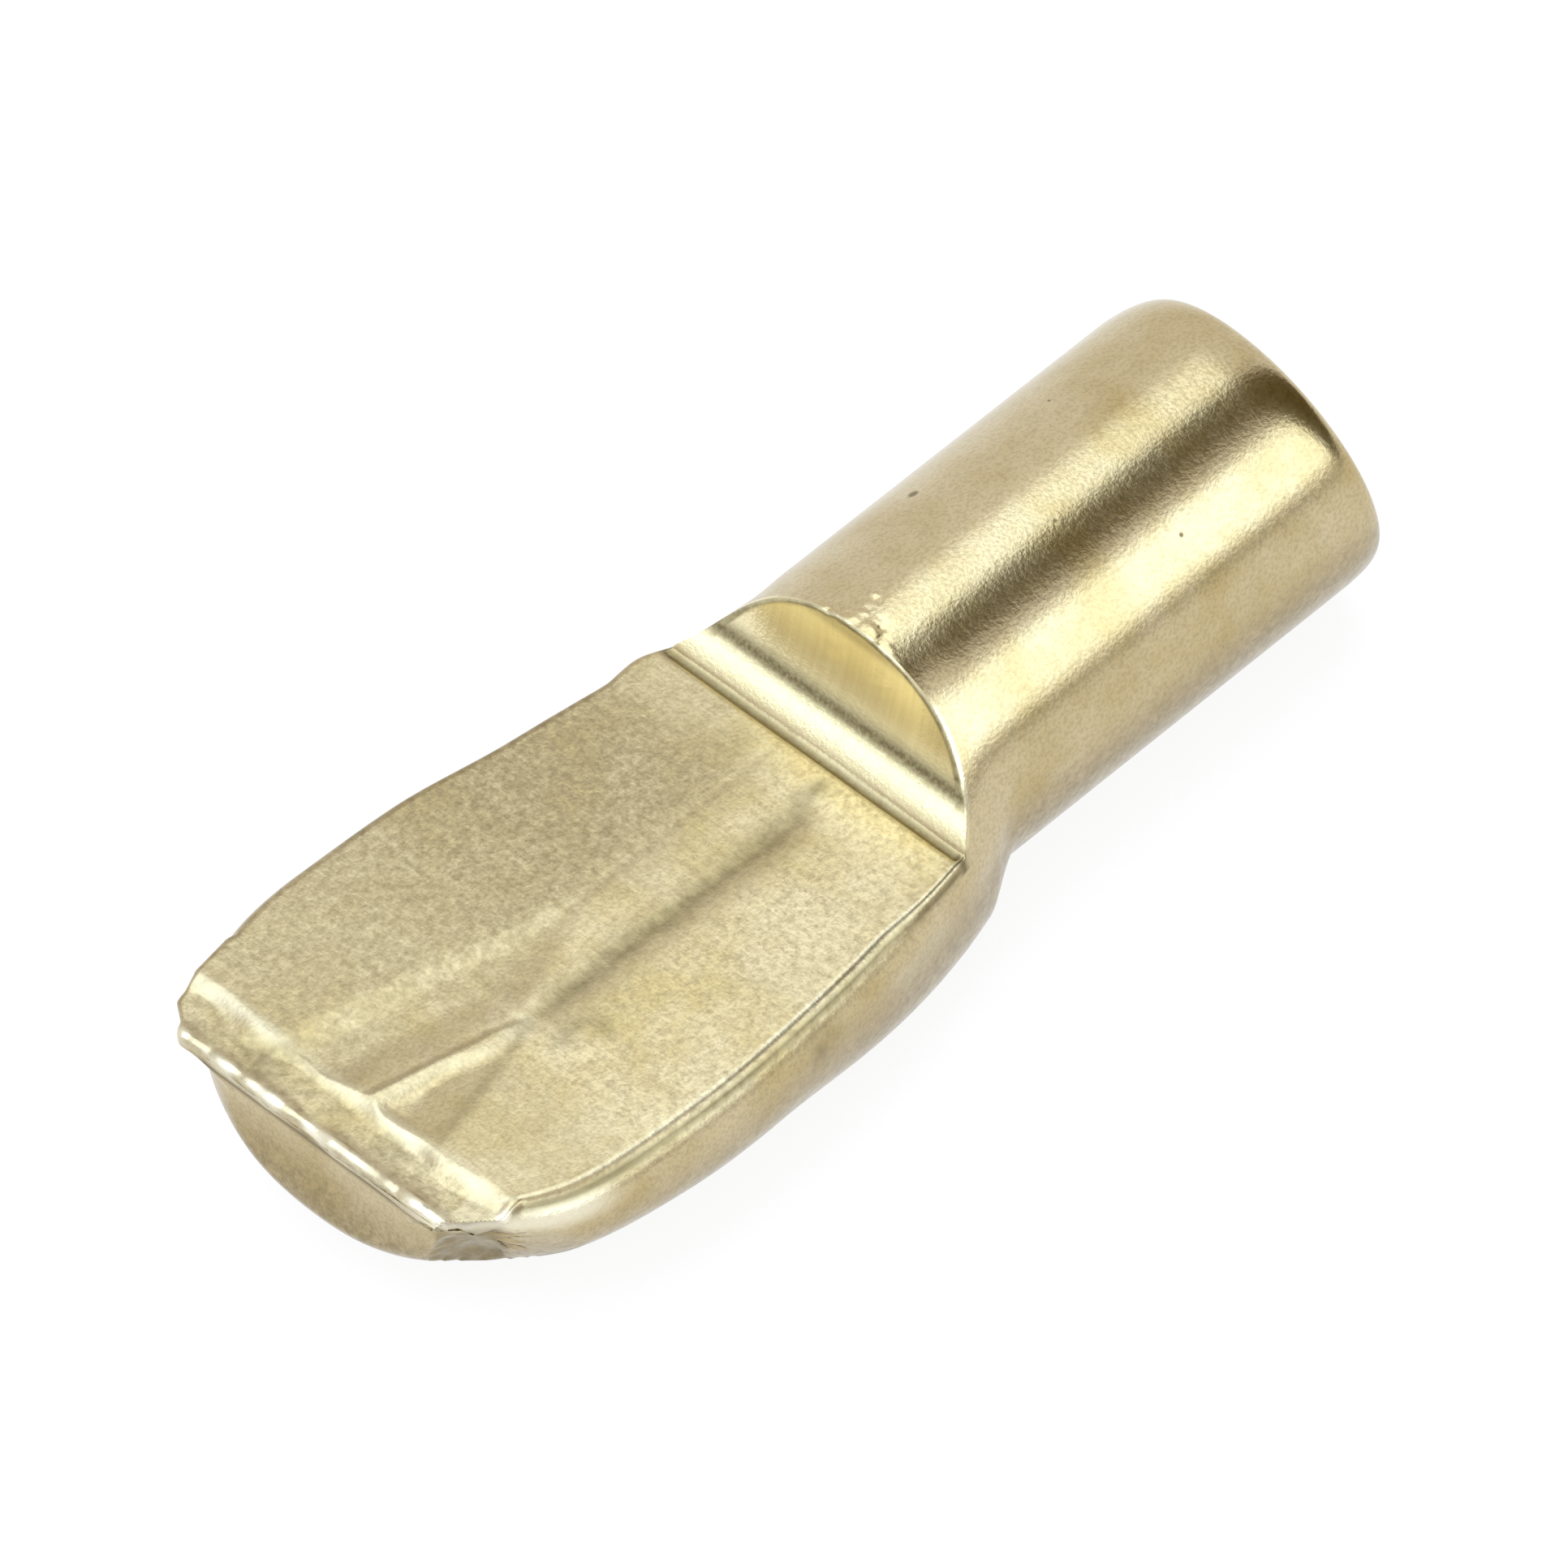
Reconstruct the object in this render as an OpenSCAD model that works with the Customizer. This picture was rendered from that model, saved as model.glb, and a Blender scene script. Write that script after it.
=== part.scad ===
// Shelf support pin: a round pin for a drilled cabinet side, pressed at its other end into
// a spoon-shaped blade with a flat seat that the shelf lies on. One piece of plated wire.
// The pin's axis is X, its free end points to +X, and the seat faces +Z. The origin is on
// the pin's axis, where the swelling beside the shoulder stops it in its hole.

/* [Pin] */
// Diameter of the pin, for a hole of the same size
pin_d = 5; // [4:0.1:7]
// Length of the pin on its axis, from where it stops in the hole to its free end
pin_length = 7.7; // [5:0.1:12]
// Width of the rounding round the free end
end_round = 0.33; // [0.2:0.01:1]
// Length of that rounding along the pin
end_run = 1.0; // [0.3:0.05:1.5]
// Rise of the domed end face over its rounding
end_crown = 0.16; // [0.02:0.01:0.3]
// How far the end face looks up, out of square, as the wire was cropped
end_tilt = 12; // [0:0.5:14]
// How far the end face looks to the right, out of square
end_turn = 3.5; // [0:0.5:8]

/* [Shoulder] */
// Length of the swelling, from the stop to the top of the shoulder wall
swell_length = 0.8; // [0.5:0.05:1.5]
// Radius of the hollow shoulder wall, which runs down to the seat
wall_r = 2.9; // [2.4:0.1:5]
// Height above the pin's axis at which the wall starts to hollow
wall_start = 2.3; // [1.8:0.05:2.5]
// Width of the groove at the foot of the wall
groove_width = 0.2; // [0.1:0.02:0.4]
// Depth of that groove below the seat
groove_depth = 0.06; // [0.02:0.01:0.15]

/* [Blade] */
// Length of the blade, from the top of the shoulder wall to the tip
blade_length = 10.3; // [9:0.1:14]
// Height of the seat above the pin's axis
seat_height = 0.45; // [0.3:0.05:1]
// Width of the blade just past the shoulder
root_width = 5.83; // [5.2:0.01:7]
// Width of the blade at its widest
blade_width = 7.28; // [6.5:0.01:10]
// Width of the body at the tip, under the lip
nose_width = 3.84; // [3:0.01:6]
// Distance from the shoulder to the widest place
widest_at = 6.3; // [5:0.1:8]
// How late the outline turns in towards the tip (larger is later)
nose_fullness = 4.7; // [3:0.1:6]
// Sideways drift of the tip, left by the press
tip_drift = 0.36; // [0:0.01:0.5]
// Distance from the shoulder at which the underside starts to rise
belly_start = 2; // [1:0.1:4]
// Thickness of the blade at the tip, from the seat to the underside
tip_thickness = 1.88; // [1.4:0.01:2.4]
// Width of the rounded corner beside the seat
edge_width = 0.12; // [0.06:0.01:0.4]
// Height of the blade's side, from the seat down to the widest line
edge_height = 0.6; // [0.4:0.02:0.8]
// Squareness of that side (2 is an ellipse)
edge_square = 2.4; // [2:0.1:3]
// How much the right side leans in towards the seat, per square millimetre of height
right_lean = 0.54; // [0:0.01:0.8]
// How much the left side leans in
left_lean = 0.33; // [0:0.01:0.8]
// Bulge of the left side just past the shoulder
root_bulge = 0.23; // [0:0.01:0.3]
// Squareness of the underside at the root
root_square = 3.7; // [2:0.1:5]
// Squareness of the underside along the blade
belly_square = 2.57; // [2:0.01:4]
// Squareness of the underside at the tip
nose_square = 2.18; // [2:0.01:4]

/* [Tip] */
// Length of the lip along the tip, which lies lower than the seat
lip_length = 0.8; // [0.5:0.05:1.2]
// Depth of the lip below the seat
lip_drop = 0.12; // [0.04:0.01:0.2]
// How far the lip stands out over the blade's end face
lip_overhang = 0.03; // [0.01:0.01:0.08]
// Thickness of the lip, which overhangs the body
lip_thickness = 0.26; // [0.15:0.01:0.4]
// Width of the lip along the tip's edge
lip_width = 4.9; // [4.6:0.1:5.6]
// Distance of the lip's right edge from the pin's axis, before its corner broke
lip_side = 2.66; // [2.4:0.02:2.8]
// Overhang of the lip's bump at the corner that is whole
lip_bump = 0.16; // [0:0.02:0.3]
// Length of the broken corner's face along its upper edge
broken_width = 0.95; // [0.5:0.05:1.2]
// Turn of that face from the side of the blade
broken_turn = 43; // [30:1:60]
// How far that face leans in under the blade
broken_lean = 21; // [0:1:35]
// Height of the burr along the tip's upper edge
burr_height = 0.09; // [0.03:0.01:0.15]
// Width of that burr
burr_width = 0.2; // [0.1:0.01:0.3]

/* [Seat marks] */
// Distance from the shoulder to the start of the crease
crease_start = 1.6; // [1.2:0.1:3]
// Distance from the shoulder to the hub, where crease and flutes meet
hub_at = 6.95; // [6.6:0.05:7.5]
// Sideways place of the hub
hub_side = -0.44; // [-0.7:0.02:-0.2]
// How far the crease runs to the left on its way to the hub
crease_skew = 0.12; // [0:0.02:0.3]
// Width of the crease
crease_width = 0.36; // [0.2:0.02:0.5]
// Depth of the crease
crease_depth = 0.05; // [0.02:0.01:0.1]
// Depth of the flutes at the lip
flute_depth = 0.13; // [0.05:0.01:0.2]
// Width of the broad flute at the lip
broad_flute = 1.5; // [1:0.05:1.7]
// Width of the narrow flute at the lip
narrow_flute = 1.2; // [0.6:0.05:1.3]
// Slope of the broad flute's outer side
flute_slope = 17; // [10:1:40]
// Thickness of the web between the two flutes
flute_web = 0.16; // [0.1:0.02:0.3]
// Distance from the shoulder to the start of the broad flute's outer side
flute_start = 4.9; // [4.4:0.1:5.6]

/* [Hidden] */
$fn = 96;

brass_plate = [0.80, 0.73, 0.53];
over = 1;               // how far a cutter reaches past what it cuts
sink = 0.01;            // how far the blade's skin lies inside the pin at the stop
end_ease = 0.02;         // how much wider than the bar the free end's rounding is
joint_x = 0.3;          // how far the blade's root reaches into the pin

pin_r = pin_d / 2;
joint_r = pin_r - 0.2;
shoulder_x = -swell_length;
tip_x = shoulder_x - blade_length;
widest_x = shoulder_x - widest_at;
root_x = shoulder_x - 0.8;                // where the blade has its root width
bulge_x = shoulder_x - 1;
bulge_run = 0.8;                          // reach of the bulge, to each side
drift_start = 0.5;                        // past the shoulder, where the blade starts to drift
swell_low = 8;                            // how low on the pin's side the swelling sits
belly_rise = 1.9;                         // how late the underside rises (larger is later)
square_run = 4;                           // length over which the underside's shape changes
rim_start = 1;                            // past the shoulder, where the seat's rim starts
rim_run = 1.6;                            // length over which that rim grows
rim_inset_right = edge_width + right_lean * pow(edge_height, 2);
rim_inset_left = edge_width + left_lean * pow(edge_height, 2);
belly_x = shoulder_x - belly_start;
waist_z = seat_height - edge_height;      // height of the blade's widest line
tip_bottom = seat_height - tip_thickness;
lip_z = seat_height - lip_drop;
step_x = tip_x + lip_length;
step_slope = 0.12;                        // run of the slope between seat and lip

// The shoulder wall is one arc; it meets the seat at wall_foot_x.
wall_turn = asin((wall_start - seat_height) / wall_r);
wall_foot_x = shoulder_x - wall_r * (1 - cos(wall_turn));

// Stations along the blade and points round each section, closer together at its sides
stations = 40;
ring = 52;
side_pull = 12;
function ring_angle(k) = let (a = 360 * k / ring) a - side_pull * sin(2 * a);

function smooth(t) = let (u = max(0, min(1, t))) u * u * (3 - 2 * u);
function mix(a, b, t) = a + (b - a) * t;
function signed_pow(v, e) = sign(v) * pow(abs(v), e);

// How far the swelling has grown at x: 0 at the stop, 1 just past the shoulder
function swelling(x) = smooth(-x / (swell_length * 0.9));

// Half the blade's width: a long arc to the widest place, then a full, late nose
function rear_half(x) =
    blade_width / 2 - (blade_width - root_width) / 2 * pow((x - widest_x) / (root_x - widest_x), 2);
function nose_half(x) =
    blade_width / 2 - (blade_width - nose_width) / 2
    * pow((widest_x - x) / (widest_x - tip_x), nose_fullness);
function half_width(x) =
    mix(pin_r, x > widest_x ? rear_half(x) : nose_half(x), swelling(x));

// Underside: level with the pin, then rising to the tip
function bottom_z(x) =
    -pin_r + (tip_bottom + pin_r) * pow(max(0, belly_x - x) / (belly_x - tip_x), belly_rise);

// Squareness of the underside's curve
function squareness(x) =
    let (along = mix(root_square, belly_square, smooth((root_x - x) / square_run)),
         late = mix(along, nose_square, smooth((widest_x + 0.5 - x) / square_run)))
    mix(2, late, swelling(x));

// Sideways place of the middle of the section
function middle_y(x) =
    let (start = shoulder_x - drift_start)
    tip_drift * max(0, (start - x) / (start - tip_x));

// Height of the curve of which the rounded edge is the lower part, up to the seat
function crown_height(x) =
    let (inset = 1 - edge_width / half_width(x))
    edge_height / pow(1 - pow(inset, edge_square), 1 / edge_square);

// One point of the section at x, by its angle. Above the waist the section goes over
// from the pin's own circle, with the swelling low on its side, to the blade's leaning side.
function section_point(x, a) =
    let (swell = swelling(x),
         bulge = cos(a) > 0 ? root_bulge * smooth(1 - abs(x - bulge_x) / bulge_run) : 0,
         half = half_width(x) + bulge - sink,
         waist = waist_z * swell,
         top = smooth((shoulder_x - rim_start - x) / rim_run),
         e = 2 / squareness(x),
         edge_e = mix(1, 2 / edge_square, top),
         low_y = (half - pin_r + sink) * signed_pow(cos(a), swell_low),
         round_y = (pin_r - sink) * cos(a) + low_y,
         height = crown_height(x) * pow(abs(sin(a)), edge_e),
         lean = (cos(a) > 0 ? -left_lean : right_lean) * pow(height, 2),
         edge_y = half * signed_pow(cos(a), edge_e) + lean,
         y = sin(a) < 0 ? half * signed_pow(cos(a), e) : mix(round_y, edge_y, top),
         up = mix(pin_r - sink - waist, crown_height(x), top),
         down = waist - bottom_z(x) - sink,
         z = sin(a) < 0 ? waist - down * pow(-sin(a), e) : waist + up * pow(sin(a), edge_e))
    [x, middle_y(x) + y, z];

// Stations lie closer together at the swelling and at the nose
function station_x(i) =
    let (t = i / (stations - 1))
    mix(0, tip_x, mix(smooth(t), t, 0.45));

// A ring's end face in level bands, each between two points of one side and two of the other
function end_bands(first) =
    let (half = ring / 2, steps = ring / 4)
    [for (start = [0, half]) for (k = [0 : steps - 1])
        let (near = start + k, far = start + half - k)
        each concat([[first + near, first + near + 1, first + far % ring]],
                    k == steps - 1 ? [] : [[first + near + 1, first + far - 1, first + far % ring]])];

// The body of the blade, from inside the pin to the tip, before the seat is pressed
module blade_body() {
    joint = [for (k = [0 : ring - 1])
        let (a = ring_angle(k))
        [joint_x, joint_r * cos(a), joint_r * sin(a)]];
    body = [for (i = [0 : stations - 1]) for (k = [0 : ring - 1])
        section_point(station_x(i), ring_angle(k))];
    last = stations * ring;
    polyhedron(
        points = concat(joint, body),
        faces = concat(
            [[for (k = [ring - 1 : -1 : 0]) k]],
            [for (i = [0 : stations - 1]) for (k = [0 : ring - 1])
                let (n = (k + 1) % ring)
                [i * ring + k, i * ring + n, (i + 1) * ring + k]],
            [for (i = [0 : stations - 1]) for (k = [0 : ring - 1])
                let (n = (k + 1) % ring)
                [i * ring + n, (i + 1) * ring + n, (i + 1) * ring + k]],
            end_bands(last)));
}

// Side view of what the press takes away above the wall, the groove, the seat and the lip
module pressed_profile() {
    high = pin_r + over;
    wall = [for (i = [0 : 16])
        let (a = wall_turn * i / 16)
        [shoulder_x - wall_r * (1 - cos(a)), wall_start - wall_r * sin(a)]];
    polygon(concat(
        [[shoulder_x, high]],
        wall,
        [[wall_foot_x - groove_width * 0.3, seat_height - groove_depth],
         [wall_foot_x - groove_width, seat_height],
         [step_x, seat_height],
         [step_x - step_slope, lip_z],
         [tip_x - over, lip_z],
         [tip_x - over, high]]));
}

module pressed_space() {
    rotate([90, 0, 0])
        linear_extrude(height = blade_width + 2 * over, center = true) pressed_profile();
}

// A shallow V along the seat, from the shoulder to the hub, which lies a little more left
module crease() {
    run = hub_at - crease_start;
    half = crease_width / 2;
    translate([shoulder_x - crease_start, hub_side - crease_skew, seat_height])
        rotate([0, 0, -atan(crease_skew / run)])
            rotate([90, 0, -90])
                linear_extrude(height = run + crease_skew)
                    polygon([[0, -crease_depth], [half, sink], [half, over],
                             [-half, over], [-half, sink]]);
}

// A cutter over the outline given, with its floor on the line from a to b and sinking
// away from it by the angle given
module tilted_cut(a, b, sink_angle, outline) {
    dir = atan2(b[1] - a[1], b[0] - a[0]);
    translate([a[0], a[1], seat_height])
        rotate([0, 0, dir])
            rotate([sink_angle, 0, 0])
                linear_extrude(height = over)
                    rotate(-dir) translate([-a[0], -a[1]]) polygon(outline);
}

flute_rear = 1;         // width of the broad flute at its rear, from the hub
web_skew = 0.69;        // how far the web between the flutes runs to the left up to the lip
hub = [shoulder_x - hub_at, hub_side];
web_y = hub_side + web_skew;
flute_end_x = step_x - step_slope;

// The broad flute sinks towards the lip, from a line between its outer side and the hub.
// Its outer side is a slope of its own, down to the floor.
module broad_flute_cut() {
    outer = [shoulder_x - flute_start, hub_side + flute_rear];
    outer_end = [flute_end_x, web_y + broad_flute];
    outline = [outer, hub, [flute_end_x, web_y], outer_end];
    fall = atan(flute_depth / (hub[0] - flute_end_x));
    intersection() {
        tilted_cut(hub, outer, -fall, outline);
        tilted_cut(outer_end, outer, -flute_slope, outline);
    }
}

// The narrow flute sinks from its outer side towards the web
module narrow_flute_cut() {
    outer = [flute_end_x, web_y - narrow_flute];
    outline = [[hub[0] - flute_web, hub[1] - flute_web / 2], outer, [flute_end_x, web_y - flute_web]];
    tilted_cut(outline[0], outer, -atan(flute_depth / narrow_flute), outline);
}

// The lip: a thin flap round the tip that overhangs the body, with a bump at one corner.
// Behind the step it reaches up to the seat, where the press cuts it, and widens the
// blade's upper edge.
module lip() {
    whole_y = tip_drift + lip_width / 2;
    start_x = step_x + 1;
    start_left = middle_y(start_x) + half_width(start_x) - rim_inset_left;
    start_right = middle_y(start_x) - half_width(start_x) + rim_inset_right;
    front_x = tip_x - lip_overhang;
    translate([0, 0, lip_z - lip_thickness])
        linear_extrude(height = lip_thickness + over)
            polygon([[start_x, start_left],
                     [step_x + 0.15, whole_y + 0.78],
                     [mix(step_x, tip_x, 0.48), whole_y + 0.56],
                     [mix(step_x, tip_x, 0.74), whole_y + 0.28],
                     [tip_x - lip_bump * 0.6, whole_y + lip_bump],
                     [front_x - 0.02, whole_y - 0.02],
                     [front_x, whole_y - 0.4],
                     [front_x, -lip_side],
                     [step_x, -lip_side],
                     [start_x, start_right]]);
}

// The burr: a low, uneven bead along the tip's upper edge
module burr() {
    y0 = tip_drift - lip_width / 2 + 0.05;
    y1 = tip_drift + lip_width / 2 - 0.1;
    steps = 30;
    function uneven(i) = 0.72 + 0.17 * sin(i * 97) + 0.11 * sin(i * 41 + 60);
    points = [for (i = [0 : steps])
        let (y = mix(y0, y1, i / steps), u = i == 0 || i == steps ? 0.3 : uneven(i))
        each [[tip_x + burr_width, y, lip_z - 0.02],
              [tip_x + burr_width * 0.35, y, lip_z + burr_height * u],
              [tip_x - burr_width * 0.45 * u, y, lip_z - 0.03],
              [tip_x + 0.02, y, lip_z - burr_width * 0.9]]];
    polyhedron(
        points = points,
        faces = concat(
            [[3, 2, 1, 0]],
            [for (i = [0 : steps - 1]) for (k = [0 : 3])
                let (n = (k + 1) % 4)
                [4 * i + k, 4 * i + n, 4 * i + 4 + k]],
            [for (i = [0 : steps - 1]) for (k = [0 : 3])
                let (n = (k + 1) % 4)
                [4 * i + n, 4 * i + 4 + n, 4 * i + 4 + k]],
            [[4 * steps, 4 * steps + 1, 4 * steps + 2, 4 * steps + 3]]));
}

// What broke away at one corner of the tip, past a face that leans in under the blade
module broken_corner() {
    reach = 3 * over;
    translate([tip_x, tip_drift - lip_width / 2, seat_height])
        rotate([broken_lean, 0, -broken_turn])
            translate([-reach, -reach, -2 * pin_r])
                cube([broken_width + 2 * reach, reach, 4 * pin_r]);
}

// The free end: a domed face with a long rounding, leaned over as the wire was cropped.
// Its rounding is a little wider than the bar, so that the bar keeps its own wall.
module free_end() {
    rim_r = pin_r + end_ease;
    dome_r = rim_r - end_round;
    lean = [[1, tan(end_turn), -tan(end_tilt), 0],
            [0, 1, 0, 0],
            [0, 0, 1, 0]];
    multmatrix(lean)
        rotate([0, 90, 0])
            rotate_extrude()
                polygon(concat(
                    [[0, -pin_length - over], [rim_r, -pin_length - over]],
                    [for (a = [0 : 7.5 : 90])
                        [dome_r + end_round * cos(a), end_run * (sin(a) - 1) - end_crown]],
                    [for (i = [5 : -1 : 0])
                        let (u = i / 6)
                        [dome_r * u, -end_crown * u * u]]));
}

// The pin: a straight round bar up to its free end
module pin() {
    intersection() {
        rotate([0, 90, 0]) cylinder(r = pin_r, h = pin_length + over);
        translate([pin_length, 0, 0]) free_end();
    }
}

module shelf_pin() {
    color(brass_plate) {
        pin();
        difference() {
            union() {
                difference() {
                    union() {
                        blade_body();
                        lip();
                    }
                    pressed_space();
                }
                burr();
            }
            crease();
            broad_flute_cut();
            narrow_flute_cut();
            broken_corner();
        }
    }
}

shelf_pin();
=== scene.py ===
"""Dresses the shelf pin: a fine plated-metal skin over the solid, on a small product studio."""
import math

import bmesh
import bpy
import numpy as np
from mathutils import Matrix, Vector


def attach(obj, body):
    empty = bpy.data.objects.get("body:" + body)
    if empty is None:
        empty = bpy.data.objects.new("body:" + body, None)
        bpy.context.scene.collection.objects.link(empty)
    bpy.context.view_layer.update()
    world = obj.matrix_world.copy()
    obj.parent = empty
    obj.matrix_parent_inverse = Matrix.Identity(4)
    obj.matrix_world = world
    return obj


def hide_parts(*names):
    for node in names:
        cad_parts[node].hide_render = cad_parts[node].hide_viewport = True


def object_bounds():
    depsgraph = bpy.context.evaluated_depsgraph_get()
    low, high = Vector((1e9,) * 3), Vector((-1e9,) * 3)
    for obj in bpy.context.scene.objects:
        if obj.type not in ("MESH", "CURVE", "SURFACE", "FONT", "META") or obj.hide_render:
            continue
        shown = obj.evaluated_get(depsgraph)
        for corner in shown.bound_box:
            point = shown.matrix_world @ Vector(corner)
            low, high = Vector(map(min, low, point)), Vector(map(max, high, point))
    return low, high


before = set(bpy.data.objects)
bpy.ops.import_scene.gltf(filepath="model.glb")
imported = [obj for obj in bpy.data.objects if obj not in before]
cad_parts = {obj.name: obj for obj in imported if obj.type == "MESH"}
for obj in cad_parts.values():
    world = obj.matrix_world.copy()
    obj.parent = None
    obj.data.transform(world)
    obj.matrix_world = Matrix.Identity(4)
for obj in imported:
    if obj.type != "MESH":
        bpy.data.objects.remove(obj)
SOLID_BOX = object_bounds()

bl_info = {
    "name": "Shelf Pin",
    "version": (1, 0, 0),
    "blender": (4, 5, 0),
    "location": "3D View > Sidebar > Shelf Pin",
    "description": "Makes the pressed and plated skin of a spoon shelf pin, and its studio",
    "category": "Object",
}

MM = 0.001
ROOT = "root"
NODE = "shelf_pin"

# Columns of the skin: across the seat and the stem's crest, and round the body below
CREST_COLUMNS = 148
BODY_COLUMNS = 110

# Rings of the skin along each stretch of the pin
DOME_ROWS = 12
ROUNDING_ROWS = 30
STEM_ROWS = 50
SWELLING_ROWS = 30
WALL_ROWS = 41

# Points at which curves are measured before the skin's points are spread along them
SIDE_SAMPLES = 900
OUTLINE_SAMPLES = 1200
RIM_SAMPLES = 4000

# Edges that turn by more than the first are worn round, and by more than the last stay sharp
WORN_TURN = math.radians(24)
WORN_ROUNDS = 4
SHARP_TURN = math.radians(42)

# Kinds of wear and of painted light and shade, each a mask on the skin from 0 to 1
MASKS = ("dirt", "haze", "rubbed", "wall", "pressed")


# ---------------------------------------- small maths

def ease(t):
    t = np.clip(t, 0, 1)
    return t * t * (3 - 2 * t)


def mix(a, b, t):
    return a + (b - a) * t


def signed_pow(v, e):
    return np.sign(v) * np.abs(v) ** e


def bump(v, middle, reach):
    """A soft hill of height 1 at the middle, gone at the reach."""
    return ease(1 - np.abs(v - middle) / reach)


def bell(v, middle, reach):
    """A hill of height 1 at the middle that fades out over about two reaches."""
    return np.exp(-((v - middle) / reach) ** 2)


LATTICE = 48            # cells along a side of the noise's table, which then repeats
LATTICE_START = 1000.0  # where in the table the middle of the pin lies
_lattices = {}


def grain(points, size, seed):
    """Smooth noise from -1 to 1 at the points, with features of about the size."""
    if seed not in _lattices:
        _lattices[seed] = np.random.default_rng(seed).random((LATTICE,) * 3) * 2 - 1
    table = _lattices[seed]
    at = points / size + LATTICE_START
    low = np.floor(at).astype(int)
    share = ease(at - low)
    low %= LATTICE
    high = (low + 1) % LATTICE
    total = 0
    for corner in range(8):
        pick = [(high if corner >> k & 1 else low)[:, k] for k in range(3)]
        weight = 1
        for k in range(3):
            weight = weight * (share[:, k] if corner >> k & 1 else 1 - share[:, k])
        total = total + table[pick[0], pick[1], pick[2]] * weight
    return total


def running_length(y, z):
    """Length along a polyline up to each of its points."""
    return np.r_[0, np.cumsum(np.hypot(np.diff(y), np.diff(z)))]


def line_at(x, points):
    """y of a polyline at x."""
    table = np.array(sorted(points))
    return np.interp(x, table[:, 0], table[:, 1])


def along_line(x, y, points):
    """Distance to a polyline, and how far along it the nearest point is, from 0 to 1."""
    reach = [math.dist(a, b) for a, b in zip(points, points[1:])]
    nearest = np.full(x.shape, 1e9)
    share = np.zeros(x.shape)
    done = 0.0
    for (ax, ay), (bx, by), length in zip(points, points[1:], reach):
        dx, dy = (bx - ax) / length, (by - ay) / length
        t = np.clip((x - ax) * dx + (y - ay) * dy, 0, length)
        d = np.hypot(x - ax - t * dx, y - ay - t * dy)
        closer = d < nearest
        nearest = np.where(closer, d, nearest)
        share = np.where(closer, (done + t) / sum(reach), share)
        done += length
    return nearest, share


# ---------------------------------------- the pin's form

# Where the press left the blade's sides fuller or hollow: middle, reach, height
LEFT_UNEVEN = [(-4.5, 1.7, -0.08), (-10.4, 2.4, -0.11), (-2.35, 0.5, 0.03), (-1.65, 0.4, -0.03)]
RIGHT_UNEVEN = [(-7.2, 2.4, 0.04)]
TIP_FULLNESS = 0.13     # how far the tip's face stands out low down


def unevenness(x, hills):
    """Height at x of hills and hollows, each given as (middle, reach, height)."""
    return sum(height * bump(x, middle, reach) for middle, reach, height in hills)


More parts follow.
